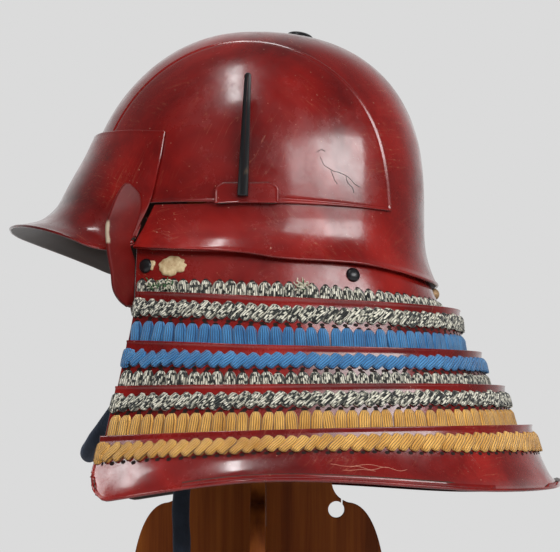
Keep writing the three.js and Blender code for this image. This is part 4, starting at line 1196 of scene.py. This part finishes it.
def prong(word, side):
    """A flat tapering tongue with a small hole at its rounded tip, painted as a dark disc of shade."""
    foot, tip, length, thick = PRONG["foot"], PRONG["tip"], PRONG["length"], PRONG["thick"]
    plan = [(-foot / 2, 0), (foot / 2, 0), (tip / 2, length - tip / 2)]
    for a in np.radians(np.linspace(15, 165, 9)):
        plan.append((tip / 2 * math.cos(a), length - tip / 2 + tip / 2 * math.sin(a)))
    plan.append((-tip / 2, length - tip / 2))
    lean = math.radians(PRONG["lean"])
    low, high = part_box("prong_" + word)
    near = min(abs(low[0]), abs(high[0])) / MM

    def place(depth, across, up):
        return np.array([
            side * (near + depth),
            PRONG["y"] + across * math.cos(lean) + up * math.sin(lean),
            PRONG["z"] + up * math.cos(lean) - across * math.sin(lean),
        ])

    rows = []
    for share, depth in ((0.1, 0), (1, 0), (1, 0.5), (1, thick - 0.9), (0.93, thick - 0.25),
                         (0.75, thick), (0.02, thick)):
        pull = 0.02 * (1 - share) if share < 0.9 else 0
        rows.append([place(depth, y * share, z + (length / 2 - z) * pull) for y, z in plan])
    pile = Pile()
    pile.grid(np.array(rows), None, 0, side < 0, closed=True)
    # Painted shade: a dark disc on the face stands for the hole; none is cut.
    eye = place(thick + 0.02, 0, length - tip / 2)
    turn = full_turn(14)
    ring = [eye] + [eye + PRONG["hole"] * np.array([0, math.cos(a), math.sin(a)]) for a in turn]
    pile.fan(ring, 1)
    pile.piece("prong " + word, [BLACK, HOLE_SHADE_AND_CRACK], "black_lacquer", "prong_" + word)


def crown_disc():
    y, radius = CROWN_DISC["y"], CROWN_DISC["radius"]
    front = np.array([0, y - radius, bowl_top(0, y - radius, 0)])
    back = np.array([0, y + radius, bowl_top(0, y + radius, 0)])
    slope = unit(back - front)
    normal = np.array([0, -slope[2], slope[1]])
    point = np.array([0, y, bowl_top(0, y, 0)])
    tall = CROWN_DISC["height"]
    profile = [(0.01, 0.0), (radius * 0.98, 0.0), (radius, 0.35), (radius * 0.98, 0.9), (radius * 0.9, 1.3)]
    profile += [(radius * 0.9 * math.cos(a), 1.3 + (tall - 1.3) * math.sin(a))
                for a in np.radians(np.linspace(8, 89, 12))]
    pile = Pile()
    revolve(pile, profile, (point + normal * 0.1, np.array([1.0, 0, 0]), slope, normal), 48)
    pile.piece("crown disc", [BLACK], "black_lacquer", "crown_disc")


# ---- Cords and knots ----


def catmull(points, count):
    """A smooth line through points, resampled to equal steps."""
    points = np.asarray(points, float)
    padded = np.vstack([2 * points[0] - points[1], points, 2 * points[-1] - points[-2]])
    line = []
    for i in range(1, len(padded) - 2):
        t = np.linspace(0, 1, 24, endpoint=False)[:, None]
        a, b, c, d = padded[i - 1:i + 3]
        line.append(0.5 * (2 * b + (c - a) * t + (2 * a - 5 * b + 4 * c - d) * t ** 2
                           + (3 * b - a - 3 * c + d) * t ** 3))
    line = np.vstack(line + [points[-1:]])
    way = way_along(line)
    even = np.linspace(0, way[-1], count)
    return np.stack([np.interp(even, way, line[:, k]) for k in range(3)], axis=1), way[-1]


def tube(pile, line, radius, sides=22, wobble=0.0, seed=0.0, mat=0):
    """A soft tube along a line, with closed rounded ends."""
    ahead = unit(np.gradient(line, axis=0))
    first = unit(np.cross(ahead[0], [0.3, 0.9, 0.1]))
    turn = full_turn(sides)
    way = way_along(line)
    rows = []
    for point, lead, run in zip(line, ahead, way):
        first = unit(first - lead * np.dot(first, lead))
        second = np.cross(lead, first)
        soft = 1 + wobble * (np.sin(turn * 2 + run * 0.05 + seed) + np.sin(turn * 3 - run * 0.083)
                             + np.sin(run * 0.31 + seed)) / 2
        close = min(run, way[-1] - run)
        cap = math.sqrt(max(1 - (1 - min(close / radius / 0.5, 1)) ** 2, 0.0001))
        reach = radius * soft * cap
        rows.append(point + reach[:, None] * (np.cos(turn)[:, None] * first
                                              + np.sin(turn)[:, None] * second))
    pile.grid(np.stack(rows), None, mat, True, closed=True)


def knot(name, centre, radius, squash, node):
    """A soft round knot: a ball with the wraps of the cord showing."""
    pile = Pile()
    tilt = np.radians(np.linspace(-89, 89, 30))
    turn = np.radians(np.linspace(0, 360, 48, endpoint=False))
    up, around = np.meshgrid(tilt, turn, indexing="ij")
    wrap = 1 + 0.05 * np.sin(3 * around + 4 * up) + 0.04 * np.sin(6 * up + 1.2)
    aim = np.stack([np.cos(up) * np.cos(around), np.cos(up) * np.sin(around), np.sin(up)], axis=-1)
    grid = np.asarray(centre, float) + radius * wrap[..., None] * aim * np.array([1, 0.95, squash])
    pile.grid(grid, None, 0, False, closed=True)
    return pile.piece(name, [NAVY], "cord_navy", node)


def rings():
    for word, side in SIDES:
        turn = full_turn(40)
        small = full_turn(14)
        big, little = np.meshgrid(turn, small, indexing="ij")
        reach = CORD_RING["radius"] + CORD_RING["wire"] * np.cos(little)
        grid = np.stack([
            side * CORD_RING["x"] + reach * np.cos(big),
            CORD_RING["y"] + CORD_RING["wire"] * np.sin(little),
            CORD_RING["z"] + reach * np.sin(big),
        ], axis=-1)
        grid = np.concatenate([grid, grid[:1]], axis=0)
        pile = Pile()
        pile.grid(grid, None, 0, False, closed=True)
        pile.piece("cord ring " + word, [BLACK], "black_lacquer", "cord_ring_" + word)


def sway(z):
    """How far forward of its knot the hanging tail is at a height."""
    return 1.5 * math.exp(-((z - 131) / 16) ** 2) - 0.35 * math.sin(z * 0.06)


def chin_cord():
    for word, side in SIDES:
        centre = (side * CORD_RING["x"], CORD_RING["y"], CORD_KNOT["z"])
        knot("cord knot " + word, centre, CORD_KNOT["radius"], 0.85, "cord_knot_" + word)
    route = LOOP_ROUTE + [(-x, y, z) for x, y, z in LOOP_ROUTE[-2::-1]]
    line, length = catmull(route, 130)
    pile = Pile()
    tube(pile, line, CORD_RADIUS, wobble=0.035, seed=1.0)
    loop = pile.piece("chin cord loop", [NAVY], "cord_navy", "chin_cord_loop")
    top = CORD_KNOT["z"] - CORD_KNOT["radius"] - 0.3
    bottom = END_KNOT["z"] + END_KNOT["radius"] + 0.3
    x, y = CORD_RING["x"], CORD_RING["y"]
    line = np.array([(x, y - sway(z), z) for z in np.linspace(top, bottom, 70)])
    length = float(np.linalg.norm(np.diff(line, axis=0), axis=1).sum())
    pile = Pile()
    tube(pile, line, CORD_RADIUS, wobble=0.04, seed=2.0)
    tail = pile.piece("chin cord tail", [NAVY], "cord_navy", "chin_cord_tail")
    end = knot("tail knot", (x, y, END_KNOT["z"]), END_KNOT["radius"], 1.0, "tail_knot")


# ---- Stand ----


def bezier(a, b, c, d, count):
    t = np.linspace(0, 1, count)[1:, None]
    a, b, c, d = (np.asarray(p, float) for p in (a, b, c, d))
    return (1 - t) ** 3 * a + 3 * (1 - t) ** 2 * t * b + 3 * (1 - t) * t ** 2 * c + t ** 3 * d


def board(name, node, top, slot, lengthwise):
    """A board cut to its outline, with two round eyes, their slits and half of the cross joint."""
    base, neck, shoulder = STAND["base"], STAND["neck"], STAND["shoulder_z"]
    neck_z, rise, shelf = STAND["neck_z"], STAND["neck_rise"], STAND["neck"] + STAND["shelf"]
    half = [np.array([[0, 0], [base - 2, 0], [base, 2], [base, STAND["rounding_z"]]], float)]
    half.append(bezier(half[0][-1], (base, STAND["rounding_top_z"]), (STAND["rounding_x"], shoulder),
                       (shelf, shoulder + 1), 26))
    eye_x, eye_z, eye_r = STAND["eye"]
    slit_wide, aside = STAND["slit"]
    slit_x = eye_x + aside
    out = (shelf + (neck - shelf) * 2 / 3, shoulder + 1 + (rise - 1) * 2 / 3)
    up = (neck, shoulder + rise + (neck_z - shoulder - rise) / 3)
    curve = bezier((shelf, shoulder + 1), out, up, (neck, neck_z), 60)
    right = curve[curve[:, 0] > slit_x + slit_wide / 2]
    left = curve[curve[:, 0] < slit_x - slit_wide / 2]
    mouth = [(slit_x + slit_wide / 2, right[-1][1] if len(right) else shoulder)]
    start = math.atan2(math.sqrt(eye_r ** 2 - (aside + slit_wide / 2) ** 2), aside + slit_wide / 2)
    stop = math.atan2(math.sqrt(eye_r ** 2 - (aside - slit_wide / 2) ** 2), aside - slit_wide / 2)
    around = np.linspace(start, stop - 2 * math.pi, 44)
    eye = np.stack([eye_x + eye_r * np.cos(around), eye_z + eye_r * np.sin(around)], axis=1)
    half += [right, np.array(mouth), eye, np.array([(slit_x - slit_wide / 2, left[0][1])]), left]
    ups = np.linspace(neck, 0, 26)[:-1]
    half.append(np.array([(s, top(s)) for s in ups]))
    right_side = np.concatenate(half)
    mirrored = right_side[::-1] * np.array([-1, 1])
    gap = STAND["thickness"] / 2 + STAND["gap"]
    body, left_side = right_side[right_side[:, 0] > gap], mirrored[mirrored[:, 0] < -gap]
    if lengthwise:
        notch = [(gap, top(gap)), (gap, slot), (-gap, slot), (-gap, top(gap))]
        outline = np.concatenate([body, notch, left_side])
    else:
        notch = [(-gap, 0), (-gap, slot), (gap, slot), (gap, 0)]
        outline = np.concatenate([body, [(0, top(0))], left_side, notch])
    curve_data = bpy.data.curves.new(name, "CURVE")
    curve_data.dimensions = "2D"
    curve_data.fill_mode = "BOTH"
    edge = STAND["edge"]
    curve_data.extrude = (STAND["thickness"] / 2 - edge) * MM
    curve_data.bevel_depth = edge * MM
    curve_data.bevel_resolution = 2
    curve_data.offset = -edge * MM
    spline = curve_data.splines.new("POLY")
    spline.points.add(len(outline) - 1)
    for point, (s, z) in zip(spline.points, outline):
        point.co = (s * MM, z * MM, 0, 1)
    spline.use_cyclic_u = True
    drawn = bpy.data.objects.new(name, curve_data)
    bpy.context.scene.collection.objects.link(drawn)
    bpy.context.view_layer.update()
    mesh = bpy.data.meshes.new_from_object(drawn)
    bpy.data.objects.remove(drawn)
    upright = Matrix.Rotation(math.pi / 2, 4, "X")
    if lengthwise:
        upright = Matrix.Rotation(math.pi / 2, 4, "Z") @ upright
    mesh.transform(Matrix.Translation((0, STAND["y"] * MM, 0)) @ upright)
    mesh.materials.clear()
    mesh.materials.append(WOOD)
    piece = bpy.data.objects.new(piece_name(name), mesh)
    bpy.context.scene.collection.objects.link(piece)
    return finish_piece(piece, "stand_wood", node, weld=False)


def stand():
    half = STAND["thickness"] / 2
    y = STAND["y"]
    under = -CROWN_THICKNESS - STAND["clearance"]

    def along_top(s):
        return min(bowl_top(half, y + s, under), bowl_top(0, y + s, under),
                   bowl_top(half, y - s, under), bowl_top(0, y - s, under))

    def across_top(s):
        return min(bowl_top(s, y + half, under), bowl_top(s, y - half, under))

    board("long stand board", "stand_board_long", along_top, STAND["halving_z"], True)
    board("cross stand board", "stand_board_cross", across_top, STAND["halving_z"] + STAND["gap"], False)


# ---- Assembly ----

bowl_shell()
side_plate("left", 1)
side_plate("right", -1)
brow_plate()
for number, name in enumerate(LAMES, 1):
    lame(name, number)
for row in LACING_ROWS:
    lacing_row(*row)
rivets()
leather_patch()
frayed_threads()
cracks()
for word, side in SIDES:
    prong_plate(word, side)
    prong(word, side)
crown_disc()
rings()
chin_cord()
stand()

# ---- Floor, world and lights ----


def floor():
    pile = Pile()
    turn = np.linspace(0, 2 * np.pi, 97)
    radii = np.array([0.001, 0.3, 0.6, 0.9, 1.1, 1.25, 1.4]) * 1000
    grid = np.stack([np.outer(radii, np.cos(turn)), np.outer(radii, np.sin(turn)),
                     np.full((len(radii), len(turn)), -0.4)], axis=-1)
    pile.grid(grid, None, 0, False)
    paint = Paint("pale floor")
    place = paint.node("ShaderNodeTexCoord").outputs["Object"]
    length = paint.node("ShaderNodeVectorMath", {"operation": "LENGTH"})
    paint.feed(length.inputs[0], place)
    paint.set(Base_Color=(0.7, 0.7, 0.7, 1), Roughness=0.9,
              Alpha=paint.band(length.outputs["Value"], 0.7, 1.35, 1.0, 0.0))
    piece = pile.mesh("floor", [paint.material])


def world():
    """A pale backdrop behind the helmet, darker on the side the picture is taken from."""
    made = bpy.data.worlds.new("studio")
    bpy.context.scene.world = made
    made.use_nodes = True
    sky = Nodes(made.node_tree)
    place = sky.node("ShaderNodeTexCoord").outputs["Generated"]
    parts = sky.node("ShaderNodeSeparateXYZ", inputs={"Vector": place})
    greys = [(at, (grey, grey, grey)) for at, grey in BACKDROP]
    shade = sky.ramp(sky.band(parts.outputs["X"], -1, 1), greys)
    sky.feed(sky.nodes["Background"].inputs["Color"], shade)


def area_light(name, place, target, size, power):
    data = bpy.data.lights.new(name, "AREA")
    data.shape = "RECTANGLE"
    data.size, data.size_y = size
    data.energy = power
    lamp = bpy.data.objects.new(name, data)
    bpy.context.scene.collection.objects.link(lamp)
    lamp.location = place
    aim = Vector(target) - Vector(place)
    lamp.rotation_euler = aim.to_track_quat("-Z", "Y").to_euler()
    return lamp


# The backdrop's grey at places from straight ahead of the camera, 0, to straight behind it, 1.
BACKDROP = [(0.05, 0.708), (0.3, 0.16), (0.7, 0.05)]
# The side softbox is brightest at its right end: three sheets of light that overlap there, with the
# x, y, width and power of each.
SIDE_SOFTBOX = [(1.125, 0.8, 1.2, 9), (0.994, 0.975, 0.81, 4), (0.9, 1.1, 0.5, 1.5)]

floor()
world()
for number, (x, y, width, power) in enumerate(SIDE_SOFTBOX):
    area_light(f"side softbox {number}", (x, y, 0.76), (x - 0.8, y - 0.6, 0.4), (width, 0.48), power)
area_light("top strip", (0.64, -0.3, 1.72), (0.08, -0.3, 0.42), (0.13, 0.8), 4.4)
fill = area_light("fill", (1.3, -0.25, 1.25), (0, 0, 0.3), (1.4, 1.2), 17)
fill.visible_glossy = False
glow = area_light("hem glow", (0.32, -0.4, 0.43), (0.14, -0.1, 0.157), (0.13, 0.13), 0.45)
glow.visible_camera = False
lit = bpy.data.collections.new("lit by the hem glow")
lit.objects.link(bpy.data.objects["neck_lame_5_surface"])
glow.light_linking.receiver_collection = lit
bpy.context.scene.view_settings.view_transform = "Standard"

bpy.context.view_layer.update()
